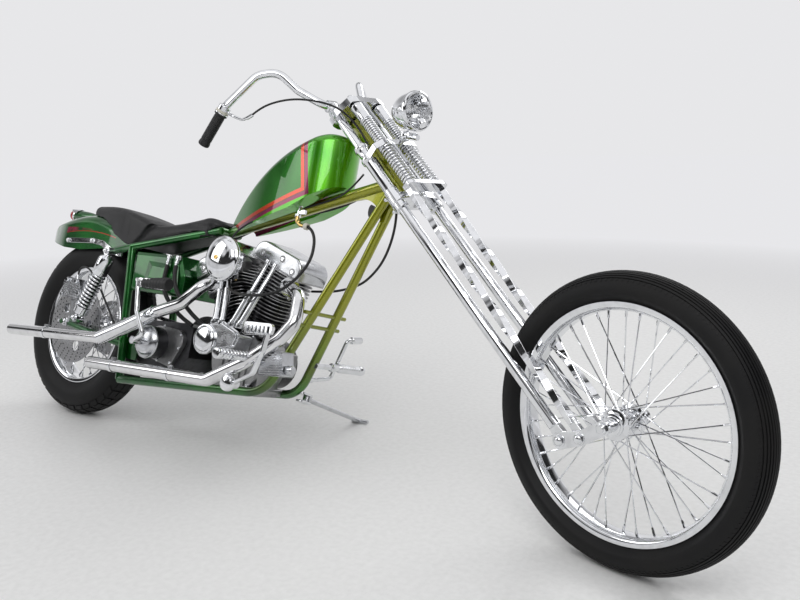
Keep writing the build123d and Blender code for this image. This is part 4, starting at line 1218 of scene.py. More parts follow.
@dataclass(frozen=True)
class FenderLacquer(Lacquer):
    """Fender paint: green with a thin red pinstripe and a pale rose flare towards the tail.

    Attributes:
        rose: Colour of the flare.
        stripe: Colour of the pinstripe.
        crest: How far behind the rear axle the flare's arc is highest, and how high.
        arc: How fast the arc falls, per millimetre.
        flank: Distance from the middle plane where the sides begin.
        tail: Where flare and pinstripe end.
        front: Where the pinstripe starts.
        flare: Half width of the flare at the axle, and its growth towards the tail.
        pinstripe: Distance of the pinstripe below the arc at the axle, its growth and its half width.
    """

    rose: Colour = (0.4, 0.02, 0.09)
    stripe: Colour = (0.42, 0.02, 0.02)
    crest: tuple[float, float] = (40.0, 352.0)
    arc: float = 0.00062
    flank: float = 26.0
    tail: float = -160.0
    front: float = 150.0
    flare: tuple[float, float] = (3.0, 0.062)
    pinstripe: tuple[float, float, float] = (6.0, 0.03, 1.5)

    def tint(self, shader: Shader) -> Value:
        """Green, with the flare and its stripe near the tail.

        Args:
            shader: The material's nodes.

        Returns:
            The colour.
        """
        ahead, side, height = shader.parts(shader.place(BIKE))
        ground = super().tint(shader)
        behind, high = self.crest
        line = height - (ahead + behind) * (ahead + behind) * -self.arc - high
        reach = side.absolute()
        on_side = (reach > self.flank) * (ahead < 0.0) * (ahead > self.tail)
        wide, growth = self.flare
        flare = (ahead * -growth - line.absolute() + wide).ramp(0.0, 5.0) * on_side
        drop, slope, half = self.pinstripe
        edge = ((line + drop - ahead * slope).absolute() < half) * (reach > self.flank)
        edge = edge * (ahead < self.front) * (ahead > self.tail)
        painted = shader.mix(
            flare, ground, shader.mix(shader.grain(24.0, 2.0).ramp(0.35, 0.65), self.rose, self.deep),
        )
        return shader.mix(edge, painted, self.stripe)


@dataclass(frozen=True)
class Ground(Metal):
    """Steel ground in circles about the rear axle."""

    def paint(self, shader: Shader) -> None:
        """Wires ground steel with circular scratches.

        Args:
            shader: The material's nodes.
        """
        ahead, _, height = shader.parts(shader.place(BIKE))
        radius = (ahead * ahead + height * height).root()
        rings = shader.node("TexNoise", Vector=shader.node("CombineXYZ", X=radius), Scale=1.4, Detail=3.0)
        shader.set(
            Base_Color=shader.mix(rings.ramp(0.3, 0.7), self.colour, tuple(part * 0.7 for part in self.colour)),
            Metallic=1.0, Roughness=rings.ramp(0.3, 0.7, self.roughness, self.roughness + self.haze),
        )


CHROME = Metal("chrome_plate", "chrome")
WORN_CHROME = Metal("worn_chrome", "chrome", roughness=0.12, haze=0.14, grain_scale=90.0)
PIPE_CHROME = Metal("pipe_chrome", "chrome", colour=(0.8, 0.8, 0.81), roughness=0.07, haze=0.1, grain_scale=26.0)
POLISHED = Metal(
    "polished_alloy", "polished_aluminium", colour=(0.6, 0.61, 0.63), roughness=0.15, haze=0.14, relief=0.03,
)
CAST = Metal(
    "cast_alloy", "cast_aluminium", colour=(0.34, 0.34, 0.345), roughness=0.36, haze=0.2, grain_scale=55.0,
    relief=0.25,
)
IRON = Metal(
    "cylinder_iron", "cast_iron", colour=(0.075, 0.075, 0.08), roughness=0.35, haze=0.2, grain_scale=70.0, relief=0.2,
)
STEEL = Metal("plain_steel", "steel", colour=(0.45, 0.45, 0.46), roughness=0.26, haze=0.16)
DISC_STEEL = Ground("disc_steel", "steel", colour=(0.5, 0.5, 0.51), roughness=0.2, haze=0.18)
BRASS = Metal("brass_fitting", "steel", colour=(0.6, 0.42, 0.16), roughness=0.2, haze=0.14)
BLACK_PAINT = Rubber(
    "black_paint", "black", colour=(0.006, 0.006, 0.007), roughness=0.24, relief=0.02, wear=(0.02, 0.02, 0.02),
)
TYRE_RUBBER = Rubber(
    "tyre_rubber", "tyre", colour=(0.004, 0.004, 0.0045), roughness=0.56, wear=(0.011, 0.0105, 0.01), shine=0.28,
)
GRIP_RUBBER = Rubber("grip_rubber", "rubber", roughness=0.48)
HOSE_RUBBER = Rubber("hose_rubber", "rubber", roughness=0.42, relief=0.04)
LEATHER = Leather(
    "seat_leather", "leather", colour=(0.005, 0.005, 0.006), roughness=0.36, relief=0.3, wear=(0.012, 0.012, 0.013),
    shine=0.38,
)
PALE_PLASTIC = Rubber(
    "pale_plastic", "rubber", colour=(0.62, 0.6, 0.52), roughness=0.4, relief=0.02, wear=(0.5, 0.48, 0.4),
)
GREEN = Lacquer("candy_coat", "candy_green")
FRAME_GREEN = FrameLacquer("frame_candy", "candy_green")
TANK_GREEN = TankLacquer("tank_candy", "candy_green")
FENDER_GREEN = FenderLacquer("fender_candy", "candy_green")
LENS = Glass("headlamp_glass", "chrome")
RED_LENS = Glass("tail_lens", "chrome", colour=(0.55, 0.01, 0.01), roughness=0.08)


TO_AXLE = Matrix.Rotation(-math.pi / 2, 4, "X")


def axle_stance(base: Stance) -> Stance:
    """A stance whose Z axis runs along an axle to the left."""
    return Stance(base.matrix @ TO_AXLE)


def solid(draft: Callable[["Draft"], None]) -> bpy.types.Mesh:
    """A mesh in millimetres drawn by one function, for repeating.

    Args:
        draft: Draws into an empty draft.

    Returns:
        The mesh, in the drawing's own millimetres.
    """
    sheet = Draft(BIKE)
    draft(sheet)
    return sheet.mesh("unit")


@dataclass
class WireWheel:
    """A laced wheel with its tyre, drawn about the Z axis.

    Attributes:
        stance: Axle stance of the wheel.
        body: The body that the wheel is.
        tyre_node: Solid of the tyre.
        wheel_node: Solid of the rim, spokes and hub.
        radius: Outer radius of the tyre.
        section: Half the tyre's width, and the radius of its crown.
        lip: Outer radius of the rim.
        rim_half: Half the rim's width.
        hub_half: Half the hub's length.
        hub_end: Radius of the hub's ends.
        flange: Radius of the spoke flanges.
        flange_half: Distance of each flange from the middle.
        barrel: Radius of the hub between its flanges.
        bore: Radius of the axle hole.
        ribbed: Ribs along the tread instead of blocks.
        spokes: How many spokes.
        lug_rows: Rows of tread blocks.
        sipes: Pairs of bars on the shoulders of a ribbed tyre.
        segments: Faces round the wheel.
        lug_bands: Both edges of each band of tread blocks, in degrees round the crown, and its skew.
        lug_span: Where a block starts and ends, as shares of its row.
        lug_depth: Height of a block.
        crossing: Angle in degrees at the axle between a spoke's two ends.
        spoke_radius: Radius of a spoke.
        nipple_radius: Radius of a nipple.
        nipple_rings: How far a nipple's sections lie from its end.
    """

    stance: Stance
    body: Body
    tyre_node: str
    wheel_node: str
    radius: float
    section: float
    lip: float
    rim_half: float
    hub_half: float
    hub_end: float
    flange: float
    flange_half: float
    barrel: float
    bore: float
    ribbed: bool
    spokes: int = 40
    lug_rows: int = 44
    sipes: int = 150
    segments: int = 120
    lug_bands: tuple[tuple[int, int, float], ...] = (
        (-50, -34, 0.28), (-31, -13, -0.1), (-10, 10, 0.16), (13, 31, -0.1), (34, 50, 0.28),
    )
    lug_span: tuple[float, float] = (0.08, 0.84)
    lug_depth: float = 3.6
    crossing: float = 48.0
    spoke_radius: float = 1.7
    nipple_radius: float = 3.1
    nipple_rings: tuple[float, ...] = (19.0, 14.0, 3.5)

    @property
    def well(self) -> float:
        """Radius of the rim's inner face, where the nipples sit."""
        return self.lip - 21.0

    def _crown(self, turn: float, drop: float = 0.0) -> tuple[float, float]:
        """Point of the tread at an angle from its middle, let in by a depth.

        Args:
            turn: The angle, in radians.
            drop: The depth, in millimetres.

        Returns:
            Radius, and distance from the wheel's middle plane.
        """
        centre = self.radius - self.section
        reach = self.section - drop
        flat = 0.94 if self.ribbed else 0.9
        lift = (1 - flat) * self.section * (1 - math.cos(turn))
        return centre + reach * math.cos(turn) + lift * 0.2, reach * math.sin(turn)

    def _carcass(self) -> list[tuple[float, float]]:
        """Cross-section of the tyre, from one bead over the tread to the other.

        Returns:
            Pairs of radius and distance from the wheel's middle plane.
        """
        bead = self.rim_half - 3.5
        side = [(self.lip - 10.0, bead - 1.0), (self.lip + 2.0, bead), (self.lip + 7.0, bead + 5.0)]
        groove = 2.6 if self.ribbed else 3.2
        half = []
        if self.ribbed:
            edges = (4.0, 13.0, 22.0, 31.0, 40.0, 50.0)
            half.append(self._crown(0.0))
            for edge in edges:
                turn = math.radians(edge)
                half.append(self._crown(turn - 0.03))
                half.append(self._crown(turn - 0.012, groove))
                half.append(self._crown(turn + 0.028, groove))
                half.append(self._crown(turn + 0.045))
        else:
            half.append(self._crown(0.0, groove))
            for edge in (14.0, 28.0, 42.0, 52.0):
                half.append(self._crown(math.radians(edge), groove))
        shoulder = [self._crown(math.radians(angle), 0.6) for angle in (60.0, 72.0, 84.0, 96.0)]
        lower = []
        top_r, top_z = shoulder[-1]
        for share in (0.25, 0.5, 0.75):
            lower.append((top_r + (self.lip + 7 - top_r) * share, top_z + (bead + 5 - top_z) * share**1.3))
        right_half = half + shoulder + lower + list(reversed(side))
        left_half = [(r, -z) for r, z in reversed(right_half[1:])]
        return left_half + right_half

    def tyre(self) -> None:
        """Builds the tyre with its tread."""
        sheet = Draft(self.stance)
        sheet.lathe(self._carcass(), ORIGIN, UP, segments=self.segments, loop=True)
        if not self.ribbed:
            sheet.join(ring_of(solid(self._lug_row), self.lug_rows))
        else:
            sheet.join(ring_of(solid(self._shoulder_sipes), self.sipes))
        sheet.place(self.tyre_node + "_rubber", TYRE_RUBBER, self.body, [self.tyre_node], Edges(crease=38))

    def _lug_row(self, sheet: Draft) -> None:
        """Draws one row of tread blocks across a block-patterned tyre.

        Args:
            sheet: Where it is drawn.
        """
        pitch = math.tau / self.lug_rows
        for low, high, skew in self.lug_bands:
            rings = []
            for drop in (self.lug_depth, 0.0):
                corners = []
                for angle, start in ((low, 0), (high, 0), (high, 1), (low, 1)):
                    r, z = self._crown(math.radians(angle), drop)
                    lean = skew * pitch * (0.5 if angle == high else -0.5)
                    spin = pitch * self.lug_span[start] + lean
                    corners.append(Vector((r * math.cos(spin), r * math.sin(spin), z)))
                rings.append(corners)
            sheet.rings(rings)

    def _shoulder_sipes(self, sheet: Draft) -> None:
        """Draws one pair of small raised bars on the shoulders of a ribbed tyre.

        Args:
            sheet: Where they are drawn.
        """
        for side in SIDES:
            rings = []
            for drop in (0.9, -0.5):
                corners = []
                for angle, spin in ((51.5, 0.0), (60.0, 0.006), (60.0, 0.018), (51.5, 0.012)):
                    r, z = self._crown(math.radians(angle), drop)
                    corners.append(Vector((r * math.cos(spin), r * math.sin(spin), side * z)))
                rings.append(corners)
            sheet.rings(rings)

    def _rim_section(self) -> list[tuple[float, float]]:
        """Closed cross-section of the rim, with rolled lips and a dropped well.

        Returns:
            Pairs of radius and distance from the wheel's middle plane.
        """
        half, lip = self.rim_half, self.lip
        outer = [
            (lip - 1.5, half - 3.2), (lip, half - 2.4), (lip + 0.4, half - 1.2), (lip - 0.4, half - 0.2),
            (lip - 2.0, half),
            (lip - 7.0, half - 0.8), (lip - 11.0, half - 1.6), (lip - 14.5, half - 3.4), (lip - 16.5, half * 0.78),
            (lip - 20.5, half * 0.6), (self.well - 0.5, half * 0.42), (self.well - 0.8, 0.0),
        ]
        inner = [
            (self.well + 3.0, 0.0), (self.well + 3.0, half * 0.5), (lip - 12.0, half * 0.8), (lip - 12.0, half - 4.0),
        ]
        lower = [(r, -z) for r, z in reversed(outer[:-1])]
        back = [(r, -z) for r, z in inner[1:]]
        return list(outer) + lower + list(reversed(back)) + inner

    def _spoke_set(self, sheet: Draft) -> None:
        """Draws four spokes that cross, with their nipples.

        Args:
            sheet: Where they are drawn.
        """
        step = math.tau / self.spokes
        for number in range(4):
            side = 1 if number % 2 else -1
            leading = 1 if number < 2 else -1
            outer_turn = number * step
            inner_turn = outer_turn + math.radians(self.crossing * leading)
            rise = self.flange - 3.5
            offset = 2.4 * (1 if number < 2 else -0.2)
            foot = Vector((
                math.cos(inner_turn) * rise, math.sin(inner_turn) * rise, side * (self.flange_half + offset),
            ))
            head = Vector(
                (math.cos(outer_turn), math.sin(outer_turn), 0),
            ) * (self.well + 1.0) + Vector((0, 0, side * 4.0))
            way = (head - foot).normalized()
            sheet.tube([foot, head], self.spoke_radius, 7)
            nipple = [head - way * back for back in self.nipple_rings] + [head]
            sheet.sweep(nipple, circle(self.nipple_radius, 8), scale=lambda share: 0.72 if share < 0.2 else 1.0)

    def metal(self) -> None:
        """Builds the rim, spokes and hub as one chromed piece."""
        sheet = Draft(self.stance)
        sheet.lathe(self._rim_section(), ORIGIN, UP, segments=self.segments, loop=True)
        sheet.join(ring_of(solid(self._spoke_set), self.spokes // 4))
        half = self.hub_half
        side = [
            (self.bore, half), (self.hub_end - 6, half), (self.hub_end - 4, half - 1), (self.hub_end - 4, half - 5),
            (self.hub_end, half - 6), (self.hub_end, self.flange_half + 6.5),
            (self.hub_end + 2, self.flange_half + 5), (self.flange - 1, self.flange_half + 3.6),
            (self.flange, self.flange_half + 2.4), (self.flange, self.flange_half - 1),
            (self.flange - 2, self.flange_half - 2.2), (self.barrel + 5, self.flange_half - 5),
            (self.barrel, self.flange_half - 12),
        ]
        profile = side + [(radius, -height) for radius, height in reversed(side)]
        sheet.lathe(profile, ORIGIN, UP, segments=48, loop=True)
        sheet.place(self.wheel_node + "_chrome", CHROME, self.body, [self.wheel_node], Edges(crease=30))

    def build(self) -> None:
        """Builds the tyre and the wheel."""
        self.tyre()
        self.metal()


FRONT_WHEEL = WireWheel(
    axle_stance(FRONT_AXLE), Body.FRONT_WHEEL, "front_tyre", "front_wheel", radius=346.0, section=45.0, lip=277.5,
    rim_half=29.0, hub_half=52.0, hub_end=26.0, flange=37.0, flange_half=35.0, barrel=20.0, bore=8.4, ribbed=True,
)
REAR_WHEEL = WireWheel(
    axle_stance(BIKE), Body.REAR_WHEEL, "rear_tyre", "rear_wheel", radius=327.0, section=63.0, lip=217.0,
    rim_half=44.0, hub_half=66.0, hub_end=34.0, flange=50.0, flange_half=38.0, barrel=32.0, bore=9.9, ribbed=False,
)


def hex_nut(sheet: Draft, origin: Point, axis: Point, across: float, height: float) -> None:
    """Draws a chamfered hexagon nut.

    Args:
        sheet: Where it is drawn.
        origin: Middle of its seat.
        axis: Direction away from the seat.
        across: Width across its corners.
        height: Its height.
    """
    radius = across / 2
    sheet.lathe(
        [(radius * 0.9, 0), (radius, height * 0.12), (radius, height * 0.82), (radius * 0.84, height), (0, height)],
        origin, axis, 6,
    )


def acorn(sheet: Draft, origin: Point, axis: Point, radius: float, height: float) -> None:
    """Draws a domed cap nut over a washer.

    Args:
        sheet: Where it is drawn.
        origin: Middle of the washer's underside.
        axis: Where its dome points.
        radius: Radius of the nut.
        height: Height of the dome's top.
    """
    sheet.lathe([(radius * 1.2, 0), (radius * 1.2, 1.6), (radius, 1.8)], origin, axis, 24)
    hex_nut(sheet, Vector(origin) + Vector(axis).normalized() * 1.8, axis, radius * 2.05, height * 0.42)
    dome = [
        (
            radius * 0.86 * math.cos(math.radians(a)), height * (0.4 + 0.6 * math.sin(math.radians(a))),
        ) for a in (0, 18, 36, 54, 72)
    ]
    sheet.lathe(dome + [(0, height)], origin, axis, 24)


@dataclass
class SpringerFork:
    """Long springer fork: rigid legs behind, twisted spring legs ahead.

    Attributes:
        leg_half: Rigid legs' distance from the middle.
        leg_radius: Their radius.
        leg_top: Height of their upper ends.
        tree_low: Height of the lower tree's middle.
        tree_top: Underside and top of the top tree.
        bracket: Underside and top of the middle bracket.
        plate: Height of the spring plate's middle.
        rod_ahead: Spring rods' distance ahead of the stem.
        rod_half: Their distance from the middle.
        pivots: The rigid leg's and spring leg's pivots and the axle, in X and Z.
        rocker_inner: The rockers' inner face.
    """

    leg_half: float = 68.0
    leg_radius: float = 14.5
    leg_top: float = 1236.0
    tree_low: float = 850.0
    tree_top: tuple[float, float] = (1198.0, 1222.0)
    bracket: tuple[float, float] = (1003.0, 1027.0)
    plate: float = 850.0
    rod_ahead: float = 56.0
    rod_half: float = 43.0
    pivots: tuple[tuple[float, float], ...] = ((0.0, 47.0), (48.0, 19.0), (115.0, 0.0))
    rocker_inner: float = 76.5

    def rigid_legs(self) -> None:
        """Builds the rigid legs with their sleeves and lower lugs."""
        sheet = Draft(FORK)
        r = self.leg_radius
        profile = [
            (0, 84), (r - 1, 84), (r, 86), (r, 889), (17, 890), (17.4, 892), (17.4, 1009), (18.4, 1011), (22, 1013.5),
            (22.6, 1016), (22.6, 1021), (22, 1024), (18.6, 1027), (17.4, 1030), (17.4, 1056), (19, 1059),
            (22, 1061.5), (22.6, 1064), (22.6, 1069), (22, 1071.5), (17, 1074.5), (r, 1077), (r, self.leg_top - 4),
            (r, self.leg_top),
        ]
        (px, pz), _, _ = self.pivots
        for side in SIDES:
            sheet.lathe(profile, (0, side * self.leg_half, 0), UP, 32)
            acorn(sheet, (0, side * self.leg_half, self.leg_top), UP, 17.5, 34)
            near, far = side * (self.rocker_inner - 1.0), side * (self.rocker_inner - 17.0)
            sheet.slab(hull_of_circles([(px, pz, 15.5), (-8, 104, 5), (8, 104, 5)], 36), near, far)
        sheet.place("rigid_legs_chrome", CHROME, Body.FORK, ["fork_rigid_legs"], Edges(1.2))

    def spring_legs(self) -> None:
        """Builds the twisted spring legs, their eyes and the spring plate."""
        sheet = Draft(FORK)
        _, (px, pz), _ = self.pivots
        for side in SIDES:
            foot, head = Vector((px, side * 68.0, 58.0)), Vector((52.0, side * 60.0, self.plate - 6))
            along = head - foot
            place = Matrix.Translation(foot) @ along.to_track_quat("Z", "Y").to_matrix().to_4x4()
            sheet.join(twisted_bar(along.length, 18.5, 1.375), place)
            near, far = side * (self.rocker_inner - 1.0), side * (self.rocker_inner - 16.0)
            sheet.slab(hull_of_circles([(px, pz, 12.5), (px - 6, 66, 4), (px + 6, 66, 4)], 32), near, far)
        middle = self.rod_ahead + 4
        outline = round_corners(
            [
                (middle - 17, -75), (middle + 13, -75), (middle + 17, -60), (middle + 17, 60), (middle + 13, 75),
                (middle - 17, 75),
            ],
            7
        )
        sheet.plinth(outline, self.plate - 7, self.plate + 7)
        sheet.place("spring_legs_chrome", CHROME, Body.FORK, ["fork_spring_legs"], Edges(1.4, 25))

    def trees(self) -> None:
        """Builds the lower tree with its split clamps, the stem and the top tree."""
        sheet = Draft(FORK)
        low = self.tree_low
        sheet.plinth(hull_of_circles([(0, 68, 23), (0, -68, 23), (8, 0, 24)], 48), low - 12, low + 13)
        for side in SIDES:
            y = side * self.leg_half
            sheet.lathe(
                [
                    (self.leg_radius, low - 35), (19, low - 35), (20.5, low - 33), (20.5, low + 38), (19, low + 40),
                    (self.leg_radius, low + 40),
                ],
                (0, y, 0), UP, 32
            )
            for height in (low - 22, low + 27):
                sheet.tube([(-22, y - 13, height), (-22, y + 13, height)], 3.4, 12)
                hex_nut(sheet, (-22, y + side * 10, height), (0, side, 0), 11, 6)
            post = side * 45.0
            sheet.lathe(
                [
                    (17, 1222), (17.5, 1224), (14.5, 1231), (12, 1246), (12.5, 1258), (17.5, 1270), (19, 1280),
                    (18.5, 1290), (15.5, 1299), (9, 1304), (0, 1306),
                ],
                (-18, post, 0), UP, 32
            )
            sheet.tube([(-18, post - 15, 1288), (-18, post + 15, 1288)], 18.5, 28)
        bottom, top = self.tree_top
        outline = round_corners(
            [
                (-34, -62), (-24, -89), (18, -91), (70, -66), (76, -40), (76, 40), (70, 66), (18, 91), (-24, 89),
                (-34, 62),
            ],
            14
        )
        sheet.plinth(outline, bottom, top)
        sheet.lathe([(15, low - 12), (15, bottom)], ORIGIN, UP, 24)
        hex_nut(sheet, (0, 0, top), UP, 36, 9)
        sheet.lathe([(13.5, top + 9), (13.5, top + 12), (9, top + 15), (0, top + 15.5)], ORIGIN, UP, 24)
        sheet.place("fork_trees_chrome", CHROME, Body.FORK, ["fork_trees"], Edges(1.6))

    def rockers(self) -> None:
        """Builds the rockers, their domed pivot nuts and the axle with its spacers."""
        sheet = Draft(FORK)
        leg, spring, axle = self.pivots
        for side in SIDES:
            near, far = side * (self.rocker_inner + 0.4), side * (self.rocker_inner + 10.0)
            lower = hull_of_circles([(*leg, 20), (*spring, 17)], 40)
            upper = hull_of_circles([(*spring, 16), (*axle, 17)], 40)
            sheet.slab(lower, near, far)
            sheet.slab(upper, near + side * 0.2, far + side * 0.2)
            for x, z in (leg, spring):
                acorn(sheet, (x, far, z), (0, side, 0), 13, 12)
            hex_nut(sheet, (axle[0], far, axle[1]), (0, side, 0), 28, 8)
            sheet.lathe([(8.5, 8), (8.5, 11), (0, 11)], (axle[0], far, axle[1]), (0, side, 0), 20)
            spacer = [(8, 0), (13.5, 0), (14.2, 1), (14.2, 6), (12.4, 8), (12.4, 18), (14.2, 20), (14.2, 24), (8, 24)]
            sheet.lathe(spacer, (axle[0], side * 52.4, axle[1]), (0, side, 0), 28, loop=True)
        sheet.tube([(axle[0], -80, axle[1]), (axle[0], 80, axle[1])], 8.0, 20)
        sheet.place("fork_rockers_chrome", CHROME, Body.FORK, ["fork_rockers"], Edges(1.2))

    def rods(self) -> None:
        """Builds the spring rods with the covers and cap nuts at their upper ends."""
        sheet = Draft(FORK)
        bottom, top = self.tree_top
        profile = [
            (0, 857), (6.8, 857), (6.8, 1128), (19.4, 1129), (20, 1131), (19.2, 1134), (18.6, 1138),
            (18.6, bottom - 14), (19.6, bottom - 12),
            (19.6, bottom - 5), (9, bottom - 4), (9, top - 1), (15, top), (15.5, top + 3), (12.5, top + 5),
        ]
        for side in SIDES:
            foot = (self.rod_ahead, side * self.rod_half, 0)
            sheet.lathe(profile, foot, UP, 32)
            acorn(sheet, (self.rod_ahead, side * self.rod_half, top + 4), UP, 12, 19)
        sheet.place("spring_rods_chrome", CHROME, Body.FORK, ["fork_spring_rods"], Edges(0.6))

    def springs(self) -> None:
        """Winds the lower and upper springs."""
        sheet = Draft(FORK)
        for side in SIDES:
            y = side * self.rod_half
            for foot, head, radius, wire, turns in (
                (859.5, self.bracket[0] - 2.5, 17.6, 3.1, 12.5), (self.bracket[1] + 2.5, 1129.0, 15.4, 2.7, 11.5),
            ):
                sheet.join(coil(radius, wire, turns, head - foot), Matrix.Translation((self.rod_ahead, y, foot)))
        sheet.place("fork_springs_chrome", CHROME, Body.FORK, ["fork_springs"], Edges(crease=60))

    def middle(self) -> None:
        """Builds the middle bracket and the lamp's post."""
        sheet = Draft(FORK)
        low, high = self.bracket
        outline = [
            (-13, -86), (56, -84), (76, -62), (79, 0), (76, 62), (56, 84), (-13, 86), (-13, 44), (18, 42), (32, 24),
            (36, 0), (32, -24), (18, -42), (-13, -44),
        ]
        sheet.plinth(round_corners(outline, 9), low + 2, high - 2)
        for side in SIDES:
            ring = [(12, low), (21, low), (22, low + 2), (22, high - 2), (21, high), (12, high)]
            sheet.lathe(ring, (self.rod_ahead, side * self.rod_half, 0), UP, 28, loop=True)
        sheet.tube(rounded([(70, 0, 1013), (108, 0, 1008), (134, 0, 966)], 20), 8.5, 18)
        sheet.lathe([(0, -3), (15, -3), (16.5, 0), (16.5, 9), (12, 13), (0, 14)], (106, 0, 1002), UP, 24)
        hex_nut(sheet, (106, 0, 1014), UP, 17, 8)
        sheet.tube([(126, -17, 990), (126, 17, 990)], 5, 14)
        sheet.place("fork_bracket_chrome", CHROME, Body.FORK, ["fork_bracket"], Edges(1.6))

    def build(self) -> None:
        """Builds the whole fork."""
        self.rigid_legs()
        self.spring_legs()
        self.trees()
        self.rockers()
        self.rods()
        self.springs()
        self.middle()


@dataclass
class Headlamp:
    """Round headlamp on a short post.

    Attributes:
        centre: Middle of its bezel.
        radius: Radius of the bezel.
    """

    centre: tuple[float, float, float] = (185.0, 0.0, 1020.0)
    radius: float = 57.0

    @property
    def ahead(self) -> Vector:
        """Direction that the lamp faces."""
        tilt = math.radians(47.0)
        return Vector((math.cos(tilt), 0, -math.sin(tilt)))

    def shell(self) -> None:
        """Builds the shell, the bezel and the reflector."""
        sheet = Draft(FORK)
        r = self.radius
        outer = [
            (0, -84), (10, -83), (24, -78), (38, -66), (47, -50), (52, -32), (54, -14), (54.5, -8), (r - 1, -7),
            (r, -4), (r, 3), (r - 1.5, 7), (r - 5, 9), (r - 7.5, 8),
        ]
        inner = [(r - 8, 4), (46, 2), (40, -16), (30, -34), (17, -44), (0, -47)]
        sheet.lathe(outer + inner, self.centre, self.ahead, 56)
        bolt = Vector(self.centre) - self.ahead * 14
        for side in SIDES:
            acorn(sheet, bolt + Vector((0, side * 53.5, 0)), (0, side, 0), 6, 8)
        foot = Vector(self.centre) - self.ahead * 18 - Vector((0, 0, 50))
        sheet.lathe([(0, -10), (11, -9), (13, 0), (13, 10), (10, 16)], foot, UP, 24)
        sheet.place("headlamp_shell", CHROME, Body.FORK, ["headlamp"], Edges(0.5))
        bulb = Draft(FORK)
        bulb.lathe(
            [(0, -24), (5, -23), (7.5, -16), (6, -8), (4.5, -4), (4.5, 12)], Vector(self.centre) - self.ahead * 20,
            -self.ahead, 20,
        )
        bulb.place("headlamp_bulb", WORN_CHROME, Body.FORK)

    def lens(self) -> None:
        """Builds the crowned lens with its upright flutes."""
        sheet = Draft(FORK)
        across, count, rows = 48.5, 44, 18
        seat, thickness, bulge, flute_depth, flute_pitch, plain_rim = 4.0, 3.5, 14.0, 1.1, 7.0, 6.0
        side = Vector((0, 1, 0))
        up = self.ahead.cross(side)
        for back in (False, True):
            grid = []
            for ring in range(rows + 1):
                radius = across * ring / rows
                spots = []
                for step in range(count if ring else 1):
                    turn = math.tau * step / count
                    y, z = radius * math.cos(turn), radius * math.sin(turn)
                    crown = bulge * (1 - (radius / across) ** 2)
                    flute = flute_depth * math.cos(y * math.tau / flute_pitch) * min(
                        1.0, (across - radius) / plain_rim,
                    )
                    spots.append(
                        Vector(self.centre) + side * y + up * z + self.ahead * (
                            crown + (flute if back else thickness) + seat
                        ),
                    )
                grid.append(spots)
            sheet.rings(grid, caps=False)
        turns = [math.tau * step / count for step in range(count)]
        middle = Vector(self.centre)
        rims = [
            [
                middle + side * across * math.cos(turn) + up * across * math.sin(turn) + self.ahead * rise
                for turn in turns
            ]
            for rise in (seat, seat + thickness)
        ]
        sheet.rings(rims, caps=False)
        sheet.place("headlamp_lens", LENS, Body.FORK, edges=Edges(crease=50))

    def build(self) -> None:
        """Builds the lamp."""
        self.shell()
        self.lens()


